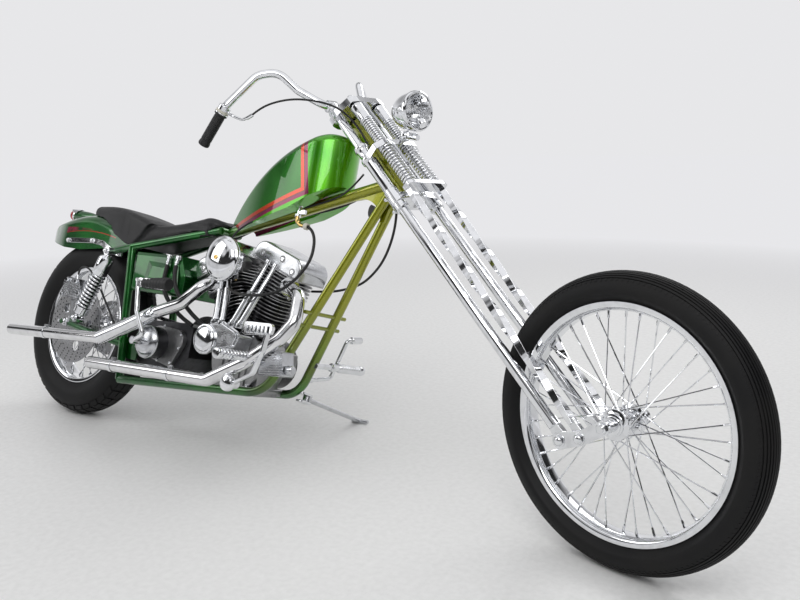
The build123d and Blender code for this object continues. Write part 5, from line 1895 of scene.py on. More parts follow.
@dataclass
class Handlebar:
    """Rising handlebar with grips and hand controls.

    Attributes:
        route: Corner points of its left half, from the middle outwards.
        radius: Radius of the tube.
        bend: Bend radius.
        grip: Length of a grip.
    """

    route: tuple[tuple[float, float, float], ...] = (
        (-18, 0, 1288), (-18, 70, 1288), (-27, 125, 1365), (-24, 158, 1445), (-60, 205, 1470), (-165, 290, 1438),
        (-292, 330, 1408),
    )
    radius: float = 12.7
    bend: float = 62.0
    grip: float = 112.0

    def _end(self, side: int) -> tuple[Vector, Vector]:
        """End of the bar on a side, and the direction of its last run.

        Args:
            side: 1 on the left, -1 on the right.

        Returns:
            The end and the direction.
        """
        end, before = Vector(self.route[-1]), Vector(self.route[-2])
        end.y, before.y = end.y * side, before.y * side
        return end, (end - before).normalized()

    def bar(self) -> None:
        """Builds the bar as one bent tube."""
        half = [Vector(point) for point in self.route]
        whole = [Vector((p.x, -p.y, p.z)) for p in reversed(half[1:])] + half[1:]
        sheet = Draft(FORK)
        sheet.tube(rounded(whole, self.bend, 8), self.radius, 28)
        sheet.place("handlebar_chrome", CHROME, Body.FORK, ["handlebar"], Edges(crease=50))

    def grips(self) -> None:
        """Builds the grips: fine rings between a flange and a round end."""
        sheet = Draft(FORK)
        for side in SIDES:
            end, run = self._end(side)
            profile = [(12.8, 0), (19.5, 0.5), (20.5, 2), (20.5, 4.5), (19, 6), (16.5, 8)]
            for ring in range(18):
                base = 12 + ring * 4.6
                profile += [(16.0, base), (17.2, base + 1.2), (17.2, base + 2.4), (16.0, base + 3.4)]
            profile += [(16.4, 99), (17.6, 103), (18, 108), (17, 113), (13, 115.6), (0, 116)]
            sheet.lathe(profile, end - run * self.grip, run, 32)
        sheet.place("grips_rubber", GRIP_RUBBER, Body.FORK, ["grips"], Edges(crease=50))

    def controls(self) -> None:
        """Builds the throttle clamp on the right and the lever with its perch on the left."""
        sheet = Draft(FORK)
        end, run = self._end(1)
        point = end - run * (self.grip + 14)
        sheet.lathe([(12.7, -12), (18, -12), (19, -11), (19, 11), (18, 12), (12.7, 12)], point, run, 32, loop=True)
        pivot = point + Vector((40, 22, 2))
        sheet.sweep([point + Vector((10, 6, 0)), pivot], rectangle(18, 15, 3))
        sheet.lathe([(0, -11), (7, -11), (7.5, -10), (7.5, 10), (7, 11), (0, 11)], pivot, UP, 20)
        lever = rounded(
            [pivot, pivot + Vector((-12, 22, -4)), pivot + Vector((-60, 50, -16)), pivot + Vector((-104, 62, -22))],
            30,
        )
        sheet.sweep(lever, rectangle(8, 14, 3.5), up=UP, scale=lambda share: 1.15 - 0.35 * share)
        tip = lever[-1]
        sheet.lathe([(0, -7.5), (4.5, -6), (7, -2.5), (7.5, 0), (7, 2.5), (4.5, 6), (0, 7.5)], tip, UP, 18)
        end, run = self._end(-1)
        point = end - run * (self.grip + 14)
        sheet.lathe(
            [(12.7, -13), (18.5, -13), (19.5, -12), (19.5, 10), (22, 11), (22, 14), (12.7, 14)], point, run, 32,
            loop=True,
        )
        elbow = [point + Vector((4, 0, -14)), (-142, -304, 1362), (-132, -289, 1334), (-110, -275, 1328)]
        sheet.tube(rounded(elbow, 22), 4.6, 16)
        sheet.tube([(-122, -281, 1330.5), (-104, -270, 1326.5)], 5.8, 16)
        sheet.place("hand_controls_chrome", CHROME, Body.FORK, ["hand_controls"], Edges(0.8))
        collar = Draft(FORK)
        collar.lathe(
            [(13, 0), (19.4, 0), (20.4, 1.5), (20.4, 9), (19.4, 10.5), (13, 10.5)], end - run * (self.grip + 1), -run,
            36, loop=True,
        )
        collar.place("throttle_collar", PALE_PLASTIC, Body.FORK)

    def build(self) -> None:
        """Builds the bar and what it carries."""
        self.bar()
        self.grips()
        self.controls()


def merged_copy(node: str, outwards: bool = False) -> bpy.types.Mesh:
    """Copies a solid of the frame with its doubled vertices merged.

    Args:
        node: The solid.
        outwards: Turns all faces outwards.

    Returns:
        The copy.
    """
    mesh = frame["nodes"][node].data.copy()
    with edited(mesh) as edit:
        bmesh.ops.remove_doubles(edit, verts=edit.verts, dist=MERGE_DISTANCE)
        if outwards:
            bmesh.ops.recalc_face_normals(edit, faces=edit.faces)
    return mesh


def refined(
    node: str, name: str, finish: Finish, body: Body = Body.CHASSIS, edges: Edges = Edges(),
) -> bpy.types.Object:
    """Takes over a solid of the frame as a merged, smooth copy.

    Args:
        node: The solid.
        name: Name of the piece.
        finish: What it is finished in.
        body: The body that carries it.
        edges: How its edges are finished.

    Returns:
        The piece.
    """
    return place_piece(merged_copy(node), name, finish, body, [node], edges)


def halved(mesh: bpy.types.Mesh, point: Point, outward: Point) -> bpy.types.Mesh:
    """Cuts a mesh off at a plane and closes the cut.

    Args:
        mesh: The mesh.
        point: A point of the plane.
        outward: Normal on the side that is removed.

    Returns:
        The same mesh.
    """
    with edited(mesh) as edit:
        cut = bmesh.ops.bisect_plane(
            edit, geom=list(edit.verts) + list(edit.edges) + list(edit.faces), plane_co=Vector(point),
            plane_no=Vector(outward), clear_outer=True,
        )
        rim = [entry for entry in cut["geom_cut"] if isinstance(entry, bmesh.types.BMEdge)]
        bmesh.ops.edgenet_fill(edit, edges=rim)
    return mesh


def turned_piece(name: str, finish: Finish, profile: Profile, origin: Point, axis: Point, segments: int,
                 loop: bool = False, replaces: Sequence[str] = (), edges: Edges = Edges()) -> None:
    """Makes a piece of the chassis from one turned profile.

    Args:
        name: Name of the piece.
        finish: What it is finished in.
        profile: Pairs of radius and height along the axis.
        origin: Where height is zero.
        axis: Direction of the axis.
        segments: Faces round the axis.
        loop: Joins the profile's end to its start.
        replaces: Solids of the frame that it stands for.
        edges: How its edges are finished.
    """
    sheet = Draft(BIKE)
    sheet.lathe(profile, origin, axis, segments, loop)
    sheet.place(name, finish, replaces=replaces, edges=edges)


def screw_head(sheet: Draft, place: Point, axis: Point, radius: float, height: float = 4.0) -> None:
    """Draws a socket screw's head.

    Args:
        sheet: Where it is drawn.
        place: Middle of its underside.
        axis: Where it faces.
        radius: Its radius.
        height: Its height.
    """
    sheet.lathe(
        [
            (radius, 0), (radius, height * 0.8), (radius * 0.88, height), (radius * 0.55, height),
            (radius * 0.5, height * 0.35), (0, height * 0.3),
        ],
        place, axis, 18,
    )


@dataclass
class Engine:
    """Air-cooled V-twin: crankcase, finned cylinders, rocker boxes and what hangs on them.

    Attributes:
        crank: The crank's middle ahead of the rear axle and above it.
        tilts: Each cylinder's lean ahead of vertical, in degrees.
        pitch: How far the vee's middle leans back, in degrees.
        seat: Height of the barrels' feet above the crank.
        barrel: Length of a barrel.
        head: Length of a head.
        fin_pitch: From one fin to the next.
        fin_size: Length and width of the fins.
        box: Length, width and height of a rocker box.
        pushrods: Foot and head of each pushrod tube.
        air_cleaner: Middle of the air cleaner.
    """

    crank: tuple[float, float] = (835.0, -15.0)
    tilts: dict[str, float] = field(default_factory=lambda: {"front": 18.5, "rear": -26.5})
    pitch: float = 4.0
    seat: float = 92.0
    barrel: float = 138.0
    head: float = 84.0
    fin_pitch: float = 11.5
    fin_size: tuple[float, float] = (150.0, 142.0)
    box: tuple[float, float, float] = (214.0, 132.0, 62.0)
    pushrods: tuple[tuple[float, float, float], ...] = (
        (775, 716, 284), (806, 748, 300), (852, 907, 300), (886, 940, 290),
    )
    air_cleaner: tuple[float, float] = (805.0, 285.0)

    def cylinder_place(self, tilt: float, height: float) -> Matrix:
        """Frame of a cylinder at a height: X ahead across it, Z up it.

        Args:
            tilt: How far the cylinder leans ahead, in degrees.
            height: Distance along it from the crank.

        Returns:
            The frame.
        """
        centre = Vector((self.crank[0], 0, self.crank[1]))
        turn = Matrix.Rotation(math.radians(tilt), 4, "Y")
        return Matrix.Translation(centre) @ turn @ Matrix.Translation((0, 0, height))

    def fins(
        self, name: str, finish: Finish, tilt: float, start: float, count: int, size: tuple[float, float],
        corner: float, thick: float,
    ) -> None:
        """Builds a stack of fins, cut off at the vee's middle.

        Args:
            name: Name of the piece.
            finish: What it is finished in.
            tilt: The cylinder's lean.
            start: Height of the first fin above the crank.
            count: How many fins.
            size: A fin's length and width.
            corner: Its corner radius.
            thick: Its thickness.
        """
        leaf = Draft(BIKE)
        leaf.plinth(rectangle(size[0], size[1], corner, 5), -thick / 2, thick / 2)
        stack = row_of(leaf.mesh("fin"), count, (0, 0, self.fin_pitch))
        stack.transform(self.cylinder_place(tilt, start))
        halved(stack, (self.crank[0], 0, self.crank[1]), self._beyond_vee(tilt))
        stack.transform(BIKE.matrix)
        place_piece(stack, name, finish, Body.CHASSIS, [], Edges(0.5 if thick > 3 else 0.0))

    def cylinders(self) -> None:
        """Builds barrels and heads: dark finned barrels with bright fin edges under cast heads."""
        barrel_fins = int(self.barrel / self.fin_pitch)
        head_fins = int(self.head / self.fin_pitch)
        for name, tilt in self.tilts.items():
            core = Draft(BIKE)
            way = self.cylinder_place(tilt, 0).to_3x3() @ Vector((0, 0, 1))
            centre = (self.crank[0], 0, self.crank[1])
            core.lathe(
                [
                    (0, self.seat), (56, self.seat), (56, self.seat + 8), (50, self.seat + 8),
                    (50, self.seat + self.barrel), (0, self.seat + self.barrel),
                ],
                centre, way, 48
            )
            core.plinth(
                rectangle(104, 112, 22), 0, self.head, self.cylinder_place(tilt, self.seat + self.barrel),
            )
            solid = halved(core.mesh("core"), centre, self._beyond_vee(tilt))
            solid.transform(BIKE.matrix)
            place_piece(solid, f"{name}_barrel_core", IRON, Body.CHASSIS, [f"cylinder_{name}"])
            length, width = self.fin_size
            first = self.seat + self.fin_pitch * 0.8
            self.fins(f"{name}_barrel_fins", BLACK_PAINT, tilt, first, barrel_fins, (length - 9, width - 5), 52, 3.2)
            self.fins(
                f"{name}_fin_edges", STEEL, tilt, first + self.fin_pitch * 6, barrel_fins - 6,
                (length - 7.6, width - 3.6), 52.7, 1.9,
            )
            top = self.seat + self.barrel + self.fin_pitch * 0.6
            self.fins(f"{name}_head_fins", CAST, tilt, top, head_fins, (length, width), 30, 3.6)
            studs = Draft(BIKE)
            place = self.cylinder_place(tilt, self.seat)
            for x in (-40, 40):
                for y in (-40, 40):
                    spot = place @ Vector((x, y, 8))
                    hex_nut(studs, spot, way, 15, 9)
            studs.place(f"{name}_base_nuts", CHROME)

    def _beyond_vee(self, tilt: float) -> tuple[float, float, float]:
        """Normal of the vee's middle plane, away from a cylinder.

        Args:
            tilt: How far the cylinder leans ahead, in degrees.

        Returns:
            The normal.
        """
        lean = math.radians(self.pitch)
        ahead = -1.0 if tilt > 0 else 1.0
        return (ahead * math.cos(lean), 0, ahead * math.sin(lean))

    def rocker_boxes(self) -> None:
        """Dresses the rocker boxes and adds their seams and recessed screws."""
        length, width, _ = self.box
        for name, tilt in self.tilts.items():
            refined(f"rocker_box_{name}", f"{name}_rocker_box", POLISHED, edges=Edges(0.0, 28))
            place = self.cylinder_place(tilt, self.seat + self.barrel + self.head)
            seam = Draft(BIKE)
            seam.plinth(rectangle(length + 4, width + 4, 16), -2.2, 2.2, place)
            seam.place(f"{name}_box_gasket", STEEL, edges=Edges(0.8))
            rings, heads = Draft(BIKE), Draft(BIKE)
            for side in SIDES:
                out = Vector((0, side, 0))
                for x, z in ((-66, 24), (20, 38), (76, 18)):
                    spot = place @ Vector((x, side * width / 2, z))
                    rings.lathe(
                        [(6.5, -0.5), (6.5, 0.35), (9.6, 0.35), (10.2, 0.9), (11, 0.9), (11.6, -0.5)], spot, out, 28,
                        loop=True,
                    )
                    screw_head(heads, spot - out * 0.3, out, 6.0, 3.0)
            rings.place(f"{name}_screw_wells", CAST)
            heads.place(f"{name}_box_screws", CHROME)

    def pushrod_covers(self) -> None:
        """Builds the telescoping pushrod covers and their lifter blocks."""
        covers, blocks = Draft(BIKE), Draft(BIKE)
        for base_x, top_x, top_z in self.pushrods:
            foot, top = Vector((base_x, -112, 98)), Vector((top_x, -62, top_z))
            way = top - foot
            long = way.length
            covers.lathe(
                [
                    (0, -2), (12.5, -2), (12.5, 6), (10.4, 7), (10.4, long * 0.46), (11.6, long * 0.46 + 1),
                    (11.6, long * 0.46 + 9), (10.2, long * 0.46 + 10), (8.6, long * 0.46 + 13), (8.2, long - 8),
                    (11, long - 7), (11, long + 4), (0, long + 4),
                ],
                foot, way, 24,
            )
            blocks.lathe([(0, -16), (15, -16), (16, -13), (16, -3), (13.5, -1), (0, -1)], foot, (0, 0.12, 1), 28)
        covers.place("pushrod_covers", CHROME, replaces=["pushrod_tubes"])
        blocks.place("lifter_blocks", POLISHED)

    def cam_side(self) -> None:
        """Builds the cam cover with its round cap and screws."""
        outline = round_corners([(705, 28), (726, 72), (820, 99), (906, 69), (884, 21), (771, -7)], 20)
        cover = Draft(BIKE)
        cover.slab(outline, -60, -124)
        inner = [(795 + (x - 795) * 0.9, 46 + (z - 46) * 0.86) for x, z in outline]
        cover.slab(inner, -122, -128)
        cover.place("cam_cover_shell", POLISHED, replaces=["cam_cover"], edges=Edges(3.0))
        turned_piece(
            "ignition_cap", CHROME,
            [(0, 18), (30, 17.4), (38, 15), (42, 11), (46, 10.5), (47.5, 8.5), (47.5, 0), (0, 0)], (760, -124, 33),
            RIGHT, 56, edges=Edges(0.6),
        )
        screws = Draft(BIKE)
        for x, z in ((716, 34), (735, 74), (822, 92), (893, 66), (876, 27), (790, 2)):
            screw_head(screws, (x, -123.5, z), RIGHT, 5.5)
        for angle in (40, 220):
            screw_head(
                screws, (760 + 38 * math.cos(math.radians(angle)), -138, 33 + 38 * math.sin(math.radians(angle))),
                RIGHT, 3.4, 3,
            )
        screws.place("cam_cover_screws", CHROME)

    def intake(self) -> None:
        """Builds the carburettor, its bowl and the domed air cleaner."""
        x, z = self.air_cleaner
        dome = Draft(BIKE)
        profile = [(0, 0), (64, 0), (68, 1.5), (70, 5), (70, 11), (68.6, 13), (66, 14)]
        profile += [(64 * math.cos(math.radians(a)), 14 + 21 * math.sin(math.radians(a))) for a in range(6, 90, 8)]
        dome.lathe(profile + [(0, 35)], (x, -150, z), RIGHT, 72)
        dome.place("air_cleaner_dome", CHROME, replaces=["air_cleaner"], edges=Edges(0.0, 40))
        turned_piece(
            "air_cleaner_band", WORN_CHROME, [(66, 0), (67.5, 1), (67.5, 13), (66, 14), (40, 14), (40, 0)],
            (x, -136, z), RIGHT, 64, loop=True,
        )
        body = Draft(BIKE)
        body.lathe(
            [
                (0, -4), (23, -4), (23, 24), (27, 26), (27, 34), (22, 36), (22, 52), (30, 54), (30, 64), (34, 66),
                (34, 80), (0, 80),
            ],
            (x, -58, z), RIGHT, 40
        )
        body.block((x, -116, z), (66, 38, 58))
        body.lathe([(0, 0), (21, 0), (25, 3), (26, 16), (24, 26), (0, 28)], (x, -116, z - 28), (0, 0, -1), 36)
        body.lathe([(0, 0), (15, 0), (15, 10), (11, 16), (0, 18)], (x + 6, -116, z + 28), UP, 30)
        body.tube(rounded([(x - 34, -116, z + 6), (x - 58, -116, z + 6), (x - 62, -116, z + 20)], 8), 4.5, 12)
        body.place("carburettor_body", CAST, replaces=["carburettor"], edges=Edges(1.6))
        screws = Draft(BIKE)
        for turn in range(4):
            angle = math.radians(45 + 90 * turn)
            screw_head(screws, (x + 21 * math.cos(angle), -116 + 21 * math.sin(angle), z - 54), (0, 0, -1), 3.2, 3)
        screw_head(screws, (x, -184.5, z), RIGHT, 7, 3.5)
        screws.place("intake_screws", BRASS)

    def cases(self) -> None:
        """Dresses crankcase, primary and gearbox, and adds their covers, ribs and screws."""
        refined("crankcase", "crankcase_halves", CAST, edges=Edges(2.0))
        refined("primary_case", "primary_cover", BLACK_PAINT, edges=Edges(0.0, 40))
        # The gearbox case is drawn nearly black, in the same finish as the cylinders, much darker than the crankcase.
        refined("gearbox", "gearbox_case", IRON, edges=Edges(1.6))
        ribs = Draft(BIKE)
        rib = Draft(BIKE)
        rib.slab(round_corners([(0, 0), (9, 0), (9, 150), (0, 150)], 3), -3, 3)
        ribs.join(
            row_of(rib.mesh("rib"), 5, (26, 0, 0)), Matrix.Translation((self.crank[0] - 58, -62, self.crank[1] - 96)),
        )
        ribs.slab(round_corners([(742, -112), (928, -112), (934, -88), (736, -88)], 8), -76, 76)
        ribs.place("crankcase_ribs", CAST, edges=Edges(1.2))
        turned_piece(
            "kick_cover", POLISHED, [(0, 20), (34, 19), (46, 14), (50, 8), (54, 6), (56, 2), (56, 0), (0, 0)],
            (500, -136, -10), RIGHT, 56, edges=Edges(1.2),
        )
        side = Draft(BIKE)
        side.slab(hull_of_circles([(500, -10, 58), (585, 10, 34), (560, -52, 26)], 48), -76, -92)
        side.place("gearbox_side_cover", CAST, edges=Edges(1.2))
        screws = Draft(BIKE)
        for x, z in ((447, -38), (452, 24), (520, 50), (606, 30), (604, -14), (574, -66), (510, -66)):
            screw_head(screws, (x, -91.5, z), RIGHT, 5)
        for x, z in ((-92, 20), (-60, 80), (60, 80), (95, 20), (70, -70), (-70, -70)):
            screw_head(screws, (self.crank[0] + x, -60, self.crank[1] + z), RIGHT, 5)
        for step in range(10):
            angle = math.tau * step / 10
            screw_head(screws, (520 + 92 * math.cos(angle), 149, 92 * math.sin(angle)), LEFT, 5)
        screws.place("case_screws", CHROME)
        block = Draft(BIKE)
        block.slab(round_corners([(925, -45), (985, -45), (985, 30), (925, 30)], 8), -58, 58)
        block.place("front_case_block", CAST, edges=Edges(1.5))

    def build(self) -> None:
        """Builds the engine."""
        self.cylinders()
        self.rocker_boxes()
        self.pushrod_covers()
        self.cam_side()
        self.intake()
        self.cases()


class Petcock:
    """Fuel tap under the tank with its brass elbow and collar."""

    def build(self) -> None:
        """Builds the tap; the hose is made with the other hoses."""
        tap, brass, collar = Draft(BIKE), Draft(BIKE), Draft(BIKE)
        tap.lathe(
            [(0, -4), (11, -4), (11, 6), (8, 8), (8, 30), (10, 32), (10, 40), (0, 42)], (985, -52, 486),
            (0.1, -0.15, -1), 28,
        )
        tap.block((1003, -57, 462), (30, 9, 13))
        tap.place("petcock", CHROME, edges=Edges(0.8))
        brass.tube(rounded([(989, -58, 448), (990, -59, 433), (1008, -60, 421), (1022, -60, 419)], 8), 6.2, 18)
        hex_nut(brass, (994, -60, 432), (0.9, 0, -0.5), 13, 8)
        brass.place("petcock_elbow", BRASS)
        collar.lathe(
            [(6, 0), (9.5, 0), (10.5, 2), (10.5, 12), (9.5, 14), (6, 14)], (1026, -60, 419), (0.95, 0, -0.15), 28,
            loop=True,
        )
        collar.place("hose_collar", PALE_PLASTIC)


class Tank:
    """Teardrop fuel tank with a filler cap."""

    def build(self) -> None:
        """Dresses the tank and adds its cap."""
        refined("fuel_tank", "tank_shell", TANK_GREEN, edges=Edges(0.0, 50))
        cap = Draft(BIKE)
        spot, way = Vector((905, 0, 642)), Vector((-0.52, 0, 0.85))
        cap.lathe(
            [(0, 17), (18, 16.4), (26, 14), (29, 10), (29, 2), (33, 1), (34, -3), (34, -8), (0, -8)], spot, way, 56,
        )
        cap.place("filler_cap", CHROME, edges=Edges(0.5))


@dataclass
class Seat:
    """Leather seat of two pads, filled.

    Attributes:
        fill: How tight it is filled, from 0 to 1; not used.
        pressure: Pressure that fills the leather in the simulation.
        voxel: Size of the cloth's cells in metres.
        inset: How far the cover is drawn in first, in millimetres.
        swell: How far the filling may move it, in millimetres.
        moments: Frames of the simulation.
        underside: Upward part of a normal below which the leather is held.
        flank: Where the sides start to be held, from the middle plane.
        fade: Width over which their hold grows.
        flank_hold: How firmly the sides are held, from 0 to 1.
        seam_hold: How firmly the seam is held.
        seam: Place ahead of the rear axle and width of the seam between the two pads.
    """

    fill: float = 0.85
    pressure: float = 4.0
    voxel: float = 0.0055
    inset: float = 2.2
    swell: float = 8.0
    moments: int = 20
    underside: float = -0.45
    flank: float = 88
    fade: float = 8
    flank_hold: float = 0.6
    seam_hold: float = 0.9
    seam: tuple[float, float] = (250, 14)

    def build(self) -> None:
        """Fills the seat's leather over its solid by a cloth simulation."""
        piece = place_piece(
            merged_copy("seat", True), "seat_leather_cover", LEATHER, Body.CHASSIS, ["seat"], Edges(0.0, 60),
        )
        self._shrink(piece)
        self._fill(piece)
        soften(piece.data, 80)

    def _apply(self, piece: bpy.types.Object) -> None:
        """Replaces a piece's mesh by its evaluated one and clears its modifiers.

        Args:
            piece: The seat's cover.
        """
        evaluated = piece.evaluated_get(bpy.context.evaluated_depsgraph_get())
        made = bpy.data.meshes.new_from_object(evaluated)
        piece.modifiers.clear()
        piece.data = made

    def _shrink(self, piece: bpy.types.Object) -> None:
        """Remeshes the cover evenly and draws it in by what the filling will add.

        Args:
            piece: The seat's cover.
        """
        cells = piece.modifiers.new("cells", "REMESH")
        cells.mode = "VOXEL"
        cells.voxel_size = self.voxel
        self._apply(piece)
        with edited(piece.data) as edit:
            edit.normal_update()
            for vert in edit.verts:
                vert.co -= vert.normal * self.inset * MM

    def _fill(self, piece: bpy.types.Object) -> None:
        """Runs the cloth under pressure, pinned at its underside and seams.

        Args:
            piece: The seat's cover.
        """
        back = BIKE.matrix.inverted()
        pins = piece.vertex_groups.new(name="pins")
        normals = [Vector(vert.normal) for vert in piece.data.vertices]
        turn = back.to_3x3().normalized()
        for vert, normal in zip(piece.data.vertices, normals):
            local = back @ vert.co
            down = (turn @ normal).z
            side = max(0.0, min(1.0, (abs(local.y) - self.flank) / self.fade)) * self.flank_hold
            hold = 1.0 if down < self.underside else side
            seam = math.exp(-(((local.x - self.seam[0]) / self.seam[1]) ** 2))
            pins.add([vert.index], min(1.0, max(hold, seam * self.seam_hold)), "REPLACE")
        cloth = piece.modifiers.new("cloth", "CLOTH")
        settings = cloth.settings
        settings.vertex_group_mass = "pins"
        settings.pin_stiffness = 1.0
        settings.use_pressure = True
        settings.uniform_pressure_force = self.pressure
        settings.effector_weights.gravity = 0.0
        settings.quality = 6
        settings.tension_stiffness = settings.compression_stiffness = 20.0
        settings.bending_stiffness = 3.0
        cloth.point_cache.frame_start, cloth.point_cache.frame_end = 1, self.moments
        before = [vert.co.copy() for vert in piece.data.vertices]
        scene = bpy.context.scene
        for moment in range(1, self.moments + 1):
            scene.frame_set(moment)
        evaluated = piece.evaluated_get(bpy.context.evaluated_depsgraph_get())
        after = [vert.co.copy() for vert in evaluated.data.vertices]
        piece.modifiers.clear()
        scene.frame_set(1)
        reach = self.swell * MM
        for vert, old, new in zip(piece.data.vertices, before, after):
            step = new - old
            vert.co = old + step * min(1.0, reach / max(step.length, 1e-9))
        most = max((new - old).length for old, new in zip(before, after)) / MM
        LOG.info("seat filled by up to %.1f mm", most)
        smooth = piece.modifiers.new("smooth", "SUBSURF")
        smooth.levels = smooth.render_levels = 1


class Fender:
    """Rear fender with its struts, their bolts and the hooded tail lamp."""

    def build(self) -> None:
        """Dresses fender and struts, and builds the lamp."""
        refined("rear_fender", "fender_shell", FENDER_GREEN, edges=Edges(0.0, 50))
        refined("fender_struts", "fender_strut_bars", CHROME, edges=Edges(1.2))
        bolts = Draft(BIKE)
        for side in SIDES:
            for x, z in ((-126, 303), (22, 310), (196, 272)):
                acorn(bolts, (x, side * 84, z), (0, side, 0), 8, 10)
        bolts.place("strut_bolts", CHROME)
        self.lamp()

    def lamp(self) -> None:
        """Builds the hooded lamp: painted body, visor, bright rim and red lens."""
        way = Vector((-1, 0, 0.02)).normalized()
        origin = (-92, 0, 409)
        turned_piece(
            "tail_lamp_shell", GREEN,
            [(0, -2), (10, 2), (13, 16), (17, 40), (20, 70), (21, 96), (21.4, 130), (18, 130), (0, 128)], origin, way,
            48, replaces=["tail_lamp"], edges=Edges(0.6, 50),
        )
        turned_piece(
            "tail_lamp_rim", CHROME,
            [(18, 130), (21.5, 130), (24, 132), (24.4, 135), (24, 139), (21.6, 141), (18.4, 140)], origin, way, 56,
            loop=True,
        )
        turned_piece(
            "tail_lamp_lens", RED_LENS,
            [(0, 134), (21.4, 134), (22.4, 142), (22, 151), (19.6, 159), (14.5, 165), (7, 168.4), (0, 169)], origin,
            way, 48, edges=Edges(0.0, 60),
        )
        visor = Draft(BIKE)
        rings = []
        for share in (0.0, 0.3, 0.6, 0.85, 1.0):
            length = 112 + share * 44
            half = math.radians(74 - 34 * share * share)
            outer = [Vector((0, math.sin(a) * 26, math.cos(a) * 26)) for a in (half * (n / 8 - 1) for n in range(17))]
            inner = [spot * (23.6 / 26) for spot in reversed(outer)]
            rings.append([Vector(origin) + way * length + spot for spot in outer + inner])
        visor.rings(rings)
        visor.place("tail_lamp_visor", CHROME, edges=Edges(0.4))


class OilTank:
    """Oil tank with folded sides and fittings."""

    def build(self) -> None:
        """Builds the folded tank, its side panels and its fittings."""
        sheet = Draft(BIKE)
        outline = [(322, 150), (587, 150), (587, 222), (552, 285), (322, 285)]
        inset = [(334, 160), (574, 160), (574, 216), (545, 274), (334, 274)]
        sheet.rings([
            [Vector((x, y, z)) for x, z in shape]
            for y, shape in ((-112, inset), (-104, outline), (104, outline), (112, inset))
        ])
        sheet.place("oil_tank_shell", GREEN, replaces=["oil_tank"], edges=Edges(3.0, 12))
        folds = Draft(BIKE)
        for side in SIDES:
            folds.rings([
                [Vector((x, side * y, z)) for x, z in shape]
                for y, shape in (
                    (110, [(380, 178), (520, 168), (548, 214), (512, 258), (396, 262)]),
                    (119, [(420, 200), (496, 194), (512, 214), (488, 236), (432, 240)]),
                )
            ])
        folds.place("oil_tank_panels", GREEN, edges=Edges(1.5, 12))
        fittings = Draft(BIKE)
        for x in (512, 556):
            fittings.lathe(
                [(0, -6), (8, -6), (8, 6), (5.5, 8), (5.5, 14), (7, 15), (7, 20), (5.5, 21), (5.5, 30), (0, 30)],
                (x, -119, 276), (0, -0.12, -1), 24,
            )
            hex_nut(fittings, (x, -108, 277), RIGHT, 17, 8)
        fittings.place("oil_fittings", CHROME)


class FrameDress:
    """Painted frame tubes, a black filler of painted shade in the opening of their web, and their bolts."""

    def build(self) -> None:
        """Dresses the frame's solids and adds a black filler of painted shade in the web's opening, and the bolts."""
        for node in ("frame_backbone", "frame_downtubes", "frame_lower_rails", "frame_rear"):
            refined(node, f"{node}_painted", FRAME_GREEN, edges=Edges(0.0, 40))
        refined("swingarm", "swingarm_painted", GREEN, edges=Edges(0.0, 40))
        refined("stand_bracket", "stand_bracket_plate", WORN_CHROME, edges=Edges(0.8))
        # The web's opening is filled by a black slab: painted shade where the opening is.
        slot = Draft(BIKE)
        slot.slab([(1222 + 9 * x, 486 + 19 * z) for x, z in circle(1, 24)], -6.2, 6.2)
        slot.place("web_opening", BLACK_PAINT)
        bolts = Draft(BIKE)
        for side in SIDES:
            hex_nut(bolts, (366, side * 64, -49), (0, side, 0), 30, 12)
            acorn(bolts, (0, side * 118, 0), (0, side, 0), 12, 16)
            hex_nut(bolts, (0, side * 110, 0), (0, side, 0), 32, 9)
            for x, z in ((-24, 0), (-44, 0)):
                hex_nut(bolts, (x, side * 112, z), (0, side, 0), 12, 6)
        bolts.place("frame_bolts", CHROME)


@dataclass
class Shock:
    """Coil-over shock absorber.

    Attributes:
        side: 1 on the left, -1 on the right.
        foot: Lower eye ahead of the rear axle and above it.
        head: Upper eye.
    """

    side: int
    foot: tuple[float, float] = (83.0, 22.0)
    head: tuple[float, float] = (197.0, 272.0)

    def build(self) -> None:
        """Builds body, spring, cover and eyes."""
        name = "left" if self.side > 0 else "right"
        y = self.side * 124
        foot, head = Vector((self.foot[0], y, self.foot[1])), Vector((self.head[0], y, self.head[1]))
        way = (head - foot).normalized()
        long = (head - foot).length
        body = Draft(BIKE)
        body.lathe(
            [
                (0, 10), (12, 10), (15, 18), (24, 22), (25.5, 24), (25.5, 46), (28.5, 47), (28.5, 51), (17, 52),
                (0, 52),
            ],
            foot, way, 44,
        )
        turned_piece(
            f"shock_{name}_core", BLACK_PAINT, [(0, 50), (16.5, 50), (16.5, long - 90), (0, long - 90)], foot, way, 32
        )
        body.lathe(
            [
                (0, long - 92), (25.5, long - 92), (26.5, long - 90), (26.5, long - 34), (24, long - 26),
                (15, long - 20), (11, long - 12), (0, long - 10),
            ],
            foot, way, 44,
        )
        for spot in (foot, head):
            body.lathe([(8, -15), (15, -15), (15, 15), (8, 15)], spot, LEFT, 36, loop=True)
        body.place(f"shock_{name}_body", CHROME, replaces=[f"shock_{name}"], edges=Edges(0.4))
        spring = Draft(BIKE)
        spring.join(
            coil(22.6, 4.3, 9.5, long - 92 - 49 - 8, 12),
            Matrix.Translation(foot + way * 53) @ way.to_track_quat("Z", "Y").to_matrix().to_4x4(),
        )
        spring.place(f"shock_{name}_spring", CHROME, edges=Edges(0.0, 80))
        bolts = Draft(BIKE)
        for spot in (foot, head):
            bolts.lathe([(0, -14), (7, -14), (7, 14), (11, 14), (11, 16), (0, 16)], spot, (0, self.side, 0), 24)
            acorn(bolts, spot + Vector((0, self.side * 16, 0)), (0, self.side, 0), 9, 12)
        bolts.place(f"shock_{name}_bolts", CHROME)


